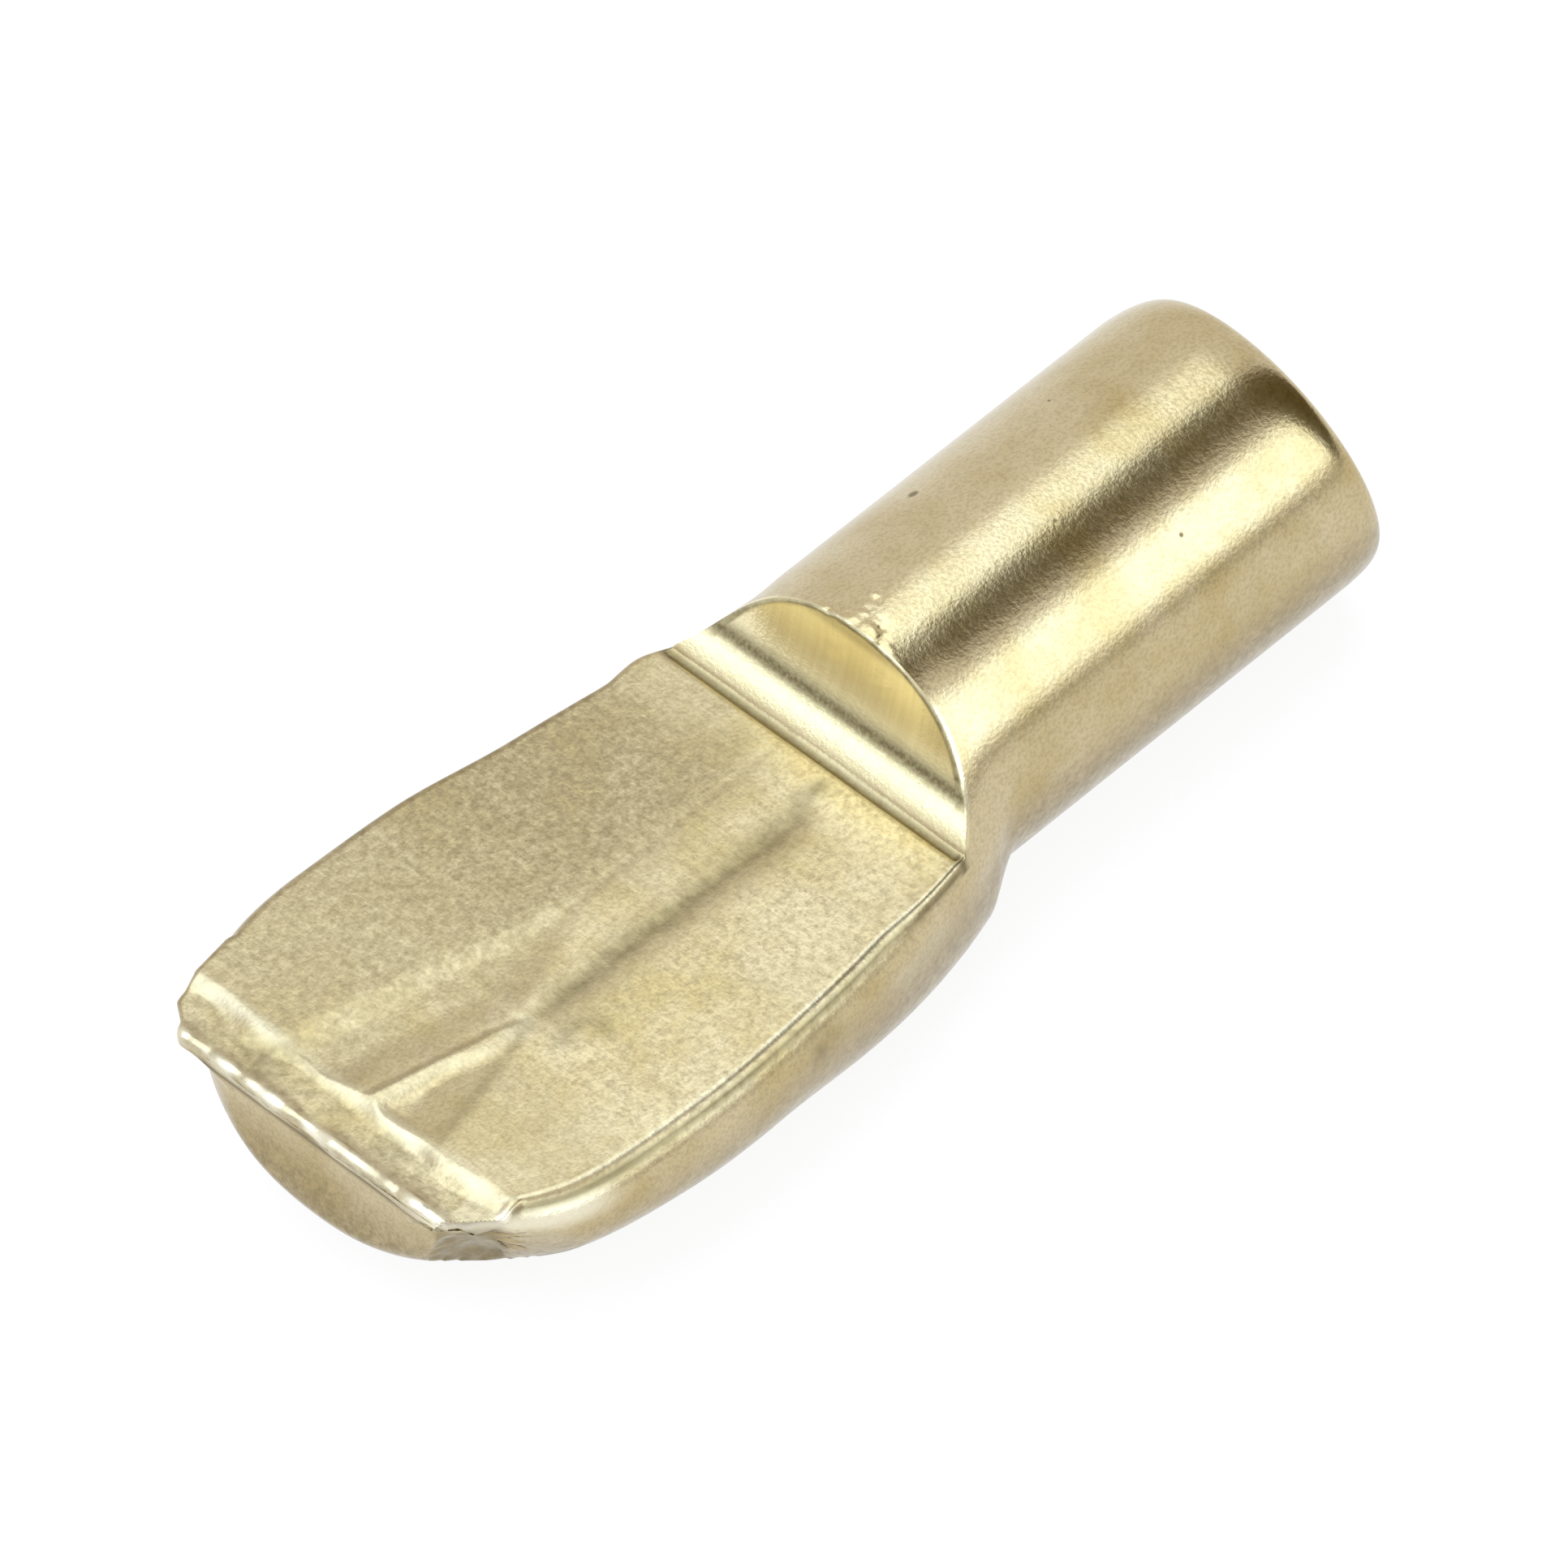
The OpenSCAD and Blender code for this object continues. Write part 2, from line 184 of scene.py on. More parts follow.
class Form:
    """The pin's surfaces, in millimetres, from the sizes in the panel."""

    def __init__(self, sizes):
        for name in type(sizes).__annotations__:
            value = getattr(sizes, name)
            if isinstance(value, float):
                unit = sizes.bl_rna.properties[name].unit
                setattr(self, name, value / MM if unit == "LENGTH" else value)
        self.r = self.pin_diameter / 2
        self.shoulder = -self.swell_length
        self.tip = self.shoulder - self.blade_length
        self.widest = self.shoulder - self.widest_at
        self.root = self.shoulder - 0.8
        self.belly = self.shoulder - self.belly_start
        self.waist = self.seat_height - self.edge_height
        self.tip_bottom = self.seat_height - self.tip_thickness
        self.lip_top = self.seat_height - self.lip_drop
        self.step = self.tip + self.lip_length
        turn = math.asin((self.wall_start - self.seat_height) / self.wall_radius)
        self.foot = self.shoulder - self.wall_radius * (1 - math.cos(turn))

    def swelling(self, x):
        return ease(-x / (self.swell_length * 0.9))

    def half_width(self, x):
        rear = (self.blade_width - self.root_width) / 2 * (
            (x - self.widest) / (self.root - self.widest)) ** 2
        late = np.clip((self.widest - x) / (self.widest - self.tip), 0, None)
        nose = (self.blade_width - self.nose_width) / 2 * late ** self.nose_fullness
        half = self.blade_width / 2 - np.where(x > self.widest, rear, nose)
        return mix(self.r, half, self.swelling(x))

    def underside(self, x):
        share = np.clip(self.belly - x, 0, None) / (self.belly - self.tip)
        return -self.r + (self.tip_bottom + self.r) * share ** 1.9

    def squareness(self, x):
        early = mix(self.root_square, self.belly_square, ease((self.root - x) / 4))
        late = mix(early, self.nose_square, ease((self.widest + 0.5 - x) / 4))
        return mix(2.0, late, self.swelling(x))

    def middle(self, x):
        start = self.shoulder - 0.5
        return self.tip_drift * np.clip((start - x) / (start - self.tip), 0, None)

    def section(self, x, angle):
        """y and z of the skin at x, before the press cut it, by the angle round the pin."""
        x, angle = np.asarray(x, float), np.asarray(angle, float)
        sine, cosine = np.sin(angle), np.cos(angle)
        swell = self.swelling(x)
        half = self.half_width(x)
        waist = self.waist * swell
        square = self.edge_square
        inset = 1 - self.edge_width / half
        crown = self.edge_height / (1 - inset ** square) ** (1 / square)
        half = half + self.root_bulge * bump(x, self.shoulder - 1.0, 0.8) * (cosine > 0)
        half = half + np.where(cosine > 0, unevenness(x, LEFT_UNEVEN),
                               unevenness(x, RIGHT_UNEVEN))
        top = ease((self.shoulder - 1.0 - x) / 1.6)
        low_power = 2 / self.squareness(x)
        edge_power = mix(1.0, 2 / square, top)
        round_y = self.r * cosine + (half - self.r) * signed_pow(cosine, 8)
        # the side leans in towards the seat, more so on the right
        height = crown * np.abs(sine) ** edge_power
        lean = np.where(cosine > 0, -self.left_lean, self.right_lean) * height ** 2
        edge_y = half * signed_pow(cosine, edge_power) + lean
        low_y = half * signed_pow(cosine, low_power)
        y = np.where(sine < 0, low_y, mix(round_y, edge_y, top))
        rise = mix(self.r - waist, crown, top)
        fall = waist - self.underside(x)
        z = np.where(sine < 0, waist - fall * np.abs(sine) ** low_power,
                     waist + rise * np.abs(sine) ** edge_power)
        return self.middle(x) + y, z

    def wall_turn(self, z):
        """How far round its arc the hollow shoulder wall has come at height z, in radians."""
        return np.arcsin(np.clip((self.wall_start - z) / self.wall_radius, 0, 1))

    def wall_x(self, z):
        """x of the shoulder wall at height z."""
        return self.shoulder - self.wall_radius * (1 - np.cos(self.wall_turn(z)))

    def wall_rim(self, count):
        """The shoulder's upper edge from the left foot over the crest to the right foot."""
        angles = np.linspace(0.001, math.pi / 2, RIM_SAMPLES)
        _, z = self.section(np.full(RIM_SAMPLES, self.foot), angles)
        first = float(np.interp(self.seat_height, z, angles))
        angle = np.linspace(first, math.pi - first, count)
        x = np.full(count, self.shoulder)
        for _ in range(60):
            x = 0.5 * x + 0.5 * self.wall_x(self.section(x, angle)[1])
        return angle, x

    def break_plane(self):
        """A point on the face of the broken corner, and the way that it faces."""
        turn, lean = self.broken_turn, self.broken_lean
        corner = np.array([self.tip, self.tip_drift - self.lip_width / 2, self.seat_height])
        return corner, -np.array([math.sin(turn) * math.cos(lean),
                                  math.cos(turn) * math.cos(lean), math.sin(lean)])

    def on_break(self, points):
        """How far points lie in front of that face, and the share of its roughness there."""
        corner, outward = self.break_plane()
        along = (points - corner) @ (math.cos(self.broken_turn), -math.sin(self.broken_turn), 0)
        inside = ease((along + 0.12) / 0.06) * ease((self.broken_width - along) / 0.08)
        return (points - corner) @ outward, inside

    def right_edge(self, x):
        """y of the seat's right edge at x."""
        places = np.linspace(self.tip, self.foot, 60)
        y, z = self.section(places[:, None], np.linspace(math.pi / 2, math.pi, 500))
        found = np.argmax(z <= self.seat_height, axis=1)
        return np.interp(x, places, y[np.arange(len(places)), found])

    def free_end(self, out, back, angle):
        """The ring of the free end that lies at these distances from its axis and face."""
        y, z = out * np.cos(angle), out * np.sin(angle)
        lean = y * math.tan(self.end_turn) - z * math.tan(self.end_tilt)
        return np.c_[self.pin_length - back + lean, y, z]

    def end_profile(self, angle):
        """Distances from axis and face of the free end's rings: a dome, then a rounding."""
        dome = self.r - self.end_round
        power = 2 / (2 + self.end_square * np.sin((angle - math.radians(20)) / 2) ** 2)
        for u in np.linspace(0, 1, DOME_ROWS):
            yield dome * u, self.end_crown * u * u
        for a in np.linspace(0, math.pi / 2, ROUNDING_ROWS)[1:]:
            yield (dome + self.end_round * signed_pow(math.sin(a), power),
                   self.end_crown + self.end_run * (1 - signed_pow(math.cos(a), power)))


# ---------------------------------------- marks of the press

# Lines on the seat, as (x, y) in millimetres
CREASE = [(-1.9, -0.42), (-2.2, -0.38), (-2.6, -0.6), (-3.7, -0.57), (-4.7, -0.56), (-5.7, -0.49),
          (-6.8, -0.48), (-7.74, -0.42), (-8.4, -0.36)]
BROAD_OUTER = [(-5.72, 0.53), (-7.02, 0.83), (-8.06, 1.15), (-8.81, 1.32), (-9.61, 1.55),
               (-10.3, 1.76)]
BROAD_INNER = [(-7.74, -0.42), (-8.16, -0.27), (-9.08, -0.06), (-10.01, 0.16), (-10.4, 0.26)]
NARROW_INNER = [(-7.74, -0.47), (-8.47, -0.42), (-9.16, -0.15), (-10.02, 0.03), (-10.4, 0.12)]
NARROW_OUTER = [(-7.74, -0.47), (-8.36, -0.67), (-9.28, -0.91), (-10.0, -1.05), (-10.4, -1.15)]
SMUDGE = [(-7.1, -1.28), (-7.07, -1.16), (-7.21, -0.98), (-7.5, -0.97), (-7.9, -1.1)]
HUB_X = -7.74

# Depths of these marks, the reach of the crease's sides and of the smudge, in millimetres
CREASE_DEPTH = 0.021
CREASE_LEFT, CREASE_RIGHT = 0.13, 0.3
SMUDGE_DEPTH, SMUDGE_REACH = 0.003, 0.16
BROAD_DEPTH, BROAD_END_DEPTH = 0.02, 0.075
BROAD_START, BROAD_RUN = -5.7, 4.5      # where the broad flute's floor sinks, and how far on
BROAD_SLOPE = math.tan(math.radians(15))
NARROW_DEPTH, NARROW_SLOPE = 0.06, 0.09

# Nicks in the shoulder's crest: x, y, width and depth in millimetres
NICKS = [(-0.15, 0.19, 0.13, 0.012), (-0.42, 0.02, 0.12, 0.018), (-0.55, -0.25, 0.13, 0.02),
         (-0.72, 0.26, 0.17, 0.03), (-0.66, 0.55, 0.2, 0.02), (-0.8, -0.55, 0.12, 0.02)]

# Pits in the stem: x, y and width in millimetres
STEM_SPOTS = [(1.83, 1.36, 0.16), (4.0, -1.69, 0.07), (4.3, 1.1, 0.05), (2.6, -0.6, 0.06)]


def press_marks(form, x, y):
    """Depth below the seat that the press left at x and y."""
    wave = 0.05 * np.sin(y * 2.1 + 0.6) + 0.03 * np.sin(y * 5.3) + 0.006 * np.sin(y * 11)
    step_run = 0.3 + 0.07 * np.sin(y * 3.1 + 1)
    depth = form.lip_drop * ease((form.step + 0.1 + wave - x) / step_run)
    before_lip = 1 - ease((form.step + 0.02 + wave - x) / 0.2)
    # broad flute: a sloping outer side, a floor that sinks towards the lip, a low inner side
    outer, inner = line_at(x, BROAD_OUTER), line_at(x, BROAD_INNER)
    sink = mix(BROAD_DEPTH, BROAD_END_DEPTH, np.clip((BROAD_START - x) / BROAD_RUN, 0, 1))
    slope = soft_step(outer - y, 0.12) * BROAD_SLOPE
    rear_y = line_at(x, [(HUB_X, -0.42), (-5.72, 0.53)])
    rear = np.where(x > HUB_X, soft_step(y - rear_y, 0.15) * 0.12, 9)
    broad = -soft_step(-np.minimum(slope, rear) + sink, 0.02) + sink
    broad = broad * before_lip * (0.3 * ease((y - inner + 0.02) / 0.1)
                                  + 0.7 * ease((y - inner) / 0.8))
    # narrow flute: it tilts down from its outer side to a small step beside the web
    inner, outer = line_at(x, NARROW_INNER), line_at(x, NARROW_OUTER)
    rising = 1 - ease((form.step + 0.3 + wave - x) / 0.5)
    narrow = np.minimum(soft_step(y - outer, 0.12) * NARROW_SLOPE, NARROW_DEPTH)
    narrow = narrow * ease((inner - y + 0.1) / 0.36) * rising * ease((HUB_X - x) / 1.2)
    depth = np.maximum(depth, np.maximum(broad, narrow))
    # crease: a shallow valley from the shoulder to the hub, its left side the steeper
    away, share = along_line(x, y, CREASE)
    ends = ease((1 - share) * 5) * ease(share * 8)
    reach = np.where(y > line_at(x, CREASE), CREASE_LEFT, CREASE_RIGHT)
    depth += CREASE_DEPTH * bell(away, 0, reach) * ends
    away, share = along_line(x, y, SMUDGE)
    depth += SMUDGE_DEPTH * bell(away, 0, SMUDGE_REACH) * (1 - 0.8 * share)
    return depth


def soft_step(value, width):
    """0 below zero and the value above it, with a rounded corner of the width given."""
    return (value + np.sqrt(value * value + width * width)) / 2


def undulation(points):
    """Small unevenness of the pressed seat, in millimetres."""
    return 0.004 * grain(points, 1.3, 31) + 0.0016 * grain(points, 0.4, 32)


def press_nicks(points):
    """Presses the nicks into the crest of the shoulder, with small flakes raised in them."""
    x, y, z = points.T
    out = points.copy()
    radius = np.hypot(y, z) + 1e-9
    flake = grain(points, 0.13, 51) + 0.4 * grain(points, 0.06, 52)
    for at_x, at_y, wide, deep in NICKS:
        away = np.hypot(x - at_x, (y - at_y) * 0.7)
        push = deep * bell(away, 0, wide / 1.1) * (0.3 + 1.2 * flake) * (z > 1.5)
        out[:, 1] -= push * y / radius
        out[:, 2] -= push * z / radius
    return out


# Lines darkened on the seat, painted shade beside the flutes and dirt in the smudge: the line,
# its reach in millimetres and its strength
DIRT_AND_SHADE_LINES = ((BROAD_INNER, 0.05, 0.25), (NARROW_OUTER, 0.1, 0.35), (SMUDGE, 0.17, 0.42))

# Single stains, each as two pairs of middle and reach in millimetres
LIP_STAIN = (-10.65, 0.4), (1.75, 0.45)     # along x and y
SIDE_STAIN = (-5.0, 0.45), (-0.1, 0.4)      # along x and z, on the right side


class WearAndPaintedLight:
    """Dirt, haze, painted shade and painted highlights, each as a share from 0 to 1 at every
    point of the skin.
    """

    def __init__(self, form, points):
        x, y, z = points.T
        self.form, self.points, self.x, self.y, self.z = form, points, x, y, z
        self.flat = ease((z - form.seat_height + 0.3) / 0.12) * ease((form.foot - x) / 0.05)
        self.lip = self.flat * ease((form.step - x) / 0.15)
        self.speckle = 0.5 + 0.5 * grain(points, 0.11, 41)
        self.cloud = 0.5 + 0.5 * grain(points, 0.7, 42)
        self.off_crease, self.along_crease = along_line(x, y, CREASE)
        self.off_crease = self.off_crease + 0.05 * grain(points, 0.25, 45)
        # the seat's right edge, and the shoulder's crest with the way behind it
        self.outside = form.right_edge(x) - y
        self.edge = (x < form.foot - 0.1) & (x > form.step) & (np.abs(self.outside) < 0.4)
        self.crest = (ease((np.hypot(y, z) - form.r + 0.12) / 0.06)
                      * ease((z - form.seat_height - 0.3) / 0.2))
        self.behind = x - form.wall_x(z)

    def masks(self):
        """Every mask by its name."""
        rubbed = self.rubbed()
        wall, shade_bands = self.wall()
        # dirt together with painted shade, less where the painted highlights lie
        dirt = np.maximum.reduce([self.seat_dirt(), self.edge_dirt(), self.break_dirt(), shade_bands])
        dirt = dirt * (1 - 0.85 * rubbed)
        shares = np.clip(dirt, 0, 1), self.haze(), np.clip(rubbed, 0, 1), wall, self.flat
        return dict(zip(MASKS, shares))

    def seat_dirt(self):
        """Painted shade in the crease, beside the flutes, in the groove and in a line below the
        lip's edge at the tip; dirt in the smudge, in stains and as speckle on the lip.
        """
        form, x, y, z, speckle = self.form, self.x, self.y, self.z, self.speckle
        # painted shade along the crease
        lines = (bell(self.off_crease, 0.03, 0.14) * ease((1 - self.along_crease) * 4)
                 * (0.38 + 0.3 * speckle))
        for line, reach, strength in DIRT_AND_SHADE_LINES:
            away, share = along_line(x, y, line)
            lines = np.maximum(lines, strength * bell(away, 0, reach) * ease((1 - share) * 6))
        stain = bell(x, *LIP_STAIN[0]) * bell(y, *LIP_STAIN[1]) * (0.25 + 0.6 * speckle)
        groove = bell((form.foot - x) / form.groove_width, 0.4, 0.45)
        # painted shade: the crease, the flutes' edges, the groove and the line under the tip's
        # burr; dirt: the stain, the lip's speckle and the side's stain
        return np.maximum.reduce([
            self.flat * lines,
            self.flat * stain,
            0.8 * groove * (z > form.seat_height - 0.2),
            self.lip * (0.12 + 0.55 * speckle ** 1.5 * self.cloud),
            0.5 * bell(x, *SIDE_STAIN[0]) * bell(z, *SIDE_STAIN[1]) * (y < -2) * speckle,
            0.8 * bell(x, form.tip, 0.16) * bell(z, form.lip_top - 0.24, 0.07)])

    def edge_dirt(self):
        """Painted shade: a dark line below the seat's right edge, and one along the shoulder's
        crest.
        """
        seam = self.edge * bell(self.z, self.form.seat_height - 0.11, 0.05)
        crest = self.crest * bell(self.behind, 0, 0.03)
        return np.maximum(seam * (self.outside > -0.06) * (0.6 + 0.35 * self.cloud),
                          crest * (0.5 + 0.4 * self.speckle))

    def break_dirt(self):
        """Painted shade, speckled, on the rough face of the broken corner, which faces down."""
        beyond, inside = self.form.on_break(self.points)
        face = ease((beyond + 0.1) / 0.05) * inside * (self.z < self.form.lip_top - 0.02)
        return face * (0.35 + 0.3 * self.speckle)

    def haze(self):
        """Greyer, darker plating: painted shade on the seat's left half, beside the crease and
        low on the body, and greyer over the flutes towards the tip.
        """
        form, x, y, z = self.form, self.x, self.y, self.z
        seat = self.flat * (1 - self.lip)
        # the seat's left half darker and greyer: painted shade
        left = seat * ease((y + 0.9 + 0.7 * grain(self.points, 1.5, 43)) / 2.0)
        left = left * (0.72 + 0.28 * bell(x, -4.6, 2.6))
        left = left * (0.45 + 0.55 * ease((form.foot - 0.3 - x) / 1.2))
        flutes = 0.45 * seat * ease((-7.8 - x) / 1.0)
        # painted shade beside the crease
        crease = (0.75 * self.flat * bell(self.off_crease, 0, 0.4)
                  * ease((1 - self.along_crease) * 4) * ease(self.along_crease * 6))
        # darker towards the bottom of the body: painted shade
        stem = ease((x + 1.5) / 1.5)
        low = ease((mix(0.15, 0.55, stem) - z) / mix(1.25, 1.1, stem))
        return np.maximum.reduce([left, flutes, crease, 0.95 * low * (1 - self.flat)])

    def rubbed(self):
        """Painted highlights on edges: the tip's, the break's, the step's, the web's, the seat's,
        the right flank's and the crest's.
        """
        form, x, y, z = self.form, self.x, self.y, self.z
        tip = bell(x, form.tip, 0.1) * ease((z - form.lip_top + 0.16) / 0.08)
        tip = tip * (0.7 + 0.5 * grain(np.c_[x * 0, y, x * 0], 0.22, 46))
        step = 0.5 * self.flat * self.cloud * bell(x, form.step, 0.13)
        away, _ = along_line(x, y, NARROW_INNER)
        web = 0.1 * self.flat * bell(away, 0.05, 0.07) * (1 - self.lip)
        patchy = 0.6 + 0.4 * grain(np.c_[x, x * 0, x * 0], 0.7, 44)
        edge = (0.6 * self.edge * patchy * bell(self.outside, -0.02, 0.03)
                * (z > form.seat_height - 0.07))
        flank = 0.7 * bell(z, 0.12, 0.17) * (y < -2) * ease((-8.4 - x) / 1.2)
        crest = 0.6 * self.crest * bell(self.behind, 0.06, 0.025) * ease((-1.2 - y) / 0.6)
        bright = np.maximum.reduce([tip, step, web, edge, flank, crest])
        # painted highlights at both ends of the broken corner's face
        ends = ((form.tip, form.tip_drift - form.lip_width / 2 + 0.12), (form.tip + 0.68, -2.62))
        for end in ends:
            away = np.linalg.norm(self.points - (*end, form.lip_top - 0.06), axis=1)
            bright = np.maximum(bright, bell(away, 0, 0.16))
        return bright

    def wall(self):
        """The freshly cut shoulder wall, lighter partly as a painted reflection, and painted
        shade in bands round its arc.
        """
        form, x, z = self.form, self.x, self.z
        wall = (ease(1.3 - np.abs(self.behind) / 0.08) * (x < form.shoulder + 0.04)
                * ease((z - form.seat_height - 0.02) / 0.06))
        turned = np.degrees(form.wall_turn(z))
        # less of the wall's lighter colour low down: a painted reflection that dims
        wall = wall * (1 - 0.35 * ease((turned - 28) / 3) - 0.25 * ease((turned - 35) / 4))
        # painted shade in bands round the arc, standing for dark reflections
        shade_bands = 0.9 * bell(turned, 26.2, 3.6) + 0.4 * bell(turned, 0, 2.0)
        shade_bands = np.maximum(shade_bands, 0.2 * ease((turned - 28) / 2)) + 0.35 * bell(turned, 40, 2.2)
        return wall, wall * shade_bands


# ---------------------------------------- the skin

class Skin:
    """Gathers rings of points and the faces between them."""

    def __init__(self):
        self.points = []
        self.count = 0
        self.faces = []

    def ring(self, points):
        points = np.asarray(points, float)
        self.points.append(points)
        self.count += len(points)
        return np.arange(self.count - len(points), self.count)

    def grow(self, points, last):
        """Adds a ring, and the faces between it and the last one."""
        ring = self.ring(points)
        self.strip(ring, last)
        return ring

    def strip(self, near, far, closed=True):
        n = len(near)
        k = np.arange(n if closed else n - 1)
        j = (k + 1) % n
        self.faces.append(np.c_[near[k], near[j], far[j], far[k]])

    def fan(self, centre, ring, flip):
        k = np.arange(len(ring))
        j = (k + 1) % len(ring)
        pair = (ring[j], ring[k]) if flip else (ring[k], ring[j])
        self.faces.append(np.c_[np.full(len(ring), centre[0]), pair[0], pair[1], pair[1]])

    def all_points(self):
        return np.concatenate(self.points)

    def triangles_and_quads(self):
        """Faces without doubled corners."""
        return [[face[k] for k in range(4) if face[k] != face[k - 1]]
                for face in np.concatenate(self.faces).tolist()]


def spread(run, count, ends=1.6, reach=0.5):
    """Places for count points along a running length, closer together near its ends."""
    near = np.minimum(run, run[-1] - run)
    weight = 1 + ends * np.exp(-near / reach)
    total = np.r_[0, np.cumsum(np.diff(run) * (weight[1:] + weight[:-1]) / 2)]
    return np.interp(np.linspace(0, 1, count), total / total[-1], run)


def side_line(form, x, side, top, lip_edge):
    """Outline of the section at x from the seat's edge down to the bottom, on one side."""
    angle = np.linspace(math.pi / 2, math.pi / 2 - side * math.pi, SIDE_SAMPLES)
    y, z = form.section(np.full(SIDE_SAMPLES, x), angle)
    first = int(np.argmax(z <= top))
    share = (z[first - 1] - top) / (z[first - 1] - z[first])
    y = np.r_[mix(y[first - 1], y[first], share), y[first:]]
    z = np.r_[top, z[first:]]
    if lip_edge is None:
        return y, z
    # the lip plate stands out over the body, and its underside runs back to it
    under = form.lip_top - form.lip_thickness
    level = np.r_[z, np.linspace(under - 0.12, under + 0.13, 30), np.linspace(top - 0.1, top, 12)]
    level = np.unique(level[level <= top])[::-1]
    y = np.interp(-level, -z, y)
    corner = np.clip((level - (top - 0.05)) / 0.05, 0, 1)
    edge = lip_edge - side * 0.05 * (1 - np.sqrt(1 - corner ** 2))
    y = y + side * np.clip((edge - y) * side, 0, None) * ease((level - under + 0.12) / 0.25)
    return y, level


# The lip's right edge, as (x, y) in millimetres
LIP_RIGHT = [(-9.0, -2.7), (-9.6, -2.66), (-10.42, -2.62), (-11.2, -2.55)]


def lip_edges(form, x):
    """y of the lip's left and right edge at x."""
    whole = form.tip_drift + form.lip_width / 2
    left = [(form.step + 1, whole + 0.81), (form.step + 0.15, whole + 0.69),
            (mix(form.step, form.tip, 0.48), whole + 0.56),
            (mix(form.step, form.tip, 0.74), whole + 0.28),
            (mix(form.step, form.tip, 0.9), whole + 0.2), (form.tip, whole + 0.1)]
    return line_at(x, left), line_at(x, LIP_RIGHT)


def blade_rows(form):
    """x of the blade's rings: close at the groove, at the lip's step and at the tip."""
    marks = [(form.foot, 0), (form.foot - 0.36, 16), (form.step + 0.2, 154),
             (form.step - 0.3, 21), (form.tip + 0.2, 12), (form.tip, 10)]
    rows = []
    for (a, _), (b, count) in zip(marks, marks[1:]):
        rows.extend(np.linspace(a, b, count + 1)[1:])
    return rows


def columns(form):
    """The angle of each column of the skin, and the x at which it meets the shoulder."""
    rim_angle, rim_x = form.wall_rim(CREST_COLUMNS + 2)
    angle = np.linspace(math.pi - rim_angle[0], 2 * math.pi + rim_angle[0], OUTLINE_SAMPLES)
    run = running_length(*form.section(np.full(OUTLINE_SAMPLES, form.foot), angle))
    body_angle = np.interp(spread(run, BODY_COLUMNS), run, angle)
    return (np.r_[rim_angle[1:-1], body_angle],
            np.r_[rim_x[1:-1], np.full(BODY_COLUMNS, form.foot)])


def add_stem(form, skin, around, stop_x):
    """Free end, stem and swelling, up to the shoulder's rim, which is given back."""
    profile = form.end_profile(around)
    centre = skin.ring(form.free_end(*next(profile), np.zeros(1)))
    last = skin.ring(form.free_end(*next(profile), around))
    skin.fan(centre, last, False)
    for out, back in profile:
        last = skin.grow(form.free_end(out, back, around), last)
    end_x = skin.all_points()[last, 0]
    across, high = form.r * np.cos(around), form.r * np.sin(around)
    for share in np.linspace(0, 1, STEM_ROWS)[1:]:
        last = skin.grow(np.c_[end_x * (1 - share), across, high], last)
    for share in np.linspace(0, 1, SWELLING_ROWS)[1:]:
        y, z = form.section(stop_x * share, around)
        last = skin.grow(np.c_[stop_x * share, y, z], last)
    return last


def add_wall(form, skin, rim):
    """Shoulder wall from its rim down to the seat, where its last ring is given back."""
    places = skin.all_points()[rim]
    left_foot, right_foot = rim[-1], rim[CREST_COLUMNS]
    foot_y = np.linspace(places[-1, 1], places[CREST_COLUMNS, 1], CREST_COLUMNS + 2)[1:-1]
    above = np.r_[left_foot, rim[:CREST_COLUMNS], right_foot]
    for share in np.linspace(0, 1, WALL_ROWS)[1:]:
        z = mix(places[:CREST_COLUMNS, 2], form.seat_height, share)
        y = mix(places[:CREST_COLUMNS, 1], foot_y, (ease(share) + share) / 2)
        row = np.r_[left_foot, skin.ring(np.c_[form.wall_x(z), y, z]), right_foot]
        skin.strip(row, above, closed=False)
        above = row
    return np.r_[above[1:-1], rim[CREST_COLUMNS:]]


def plate_edges(form, x):
    """y of the left and right edge of the lip's plate at x, where there is one."""
    start = form.step + 1.2
    if x >= start:
        return None, None
    fade = float(ease((start - x) / 0.4))
    edges = []
    for side, lip in zip((1, -1), lip_edges(form, x)):
        own = side_line(form, x, side, form.seat_height, None)[0][0]
        edges.append(mix(own - side * 0.1, side * max(side * lip, side * own), fade))
    return edges


TIP_ROUNDING = 0.26     # of the tip's lower edge, in millimetres


def round_under_tip(form, x, y, z):
    """Draws the body's ring at x in where the tip's lower edge is rounded."""
    near = 1 - min(1, (x - form.tip) / TIP_ROUNDING)
    inset = TIP_ROUNDING * (1 - math.sqrt(1 - near ** 2))
    low = ease((0.05 - z) / 0.2)
    # in proportion to about the half width and the depth of the ring
    return mix(y, form.tip_drift, inset / 1.9 * low), z * (1 - inset / 1.45 * low)


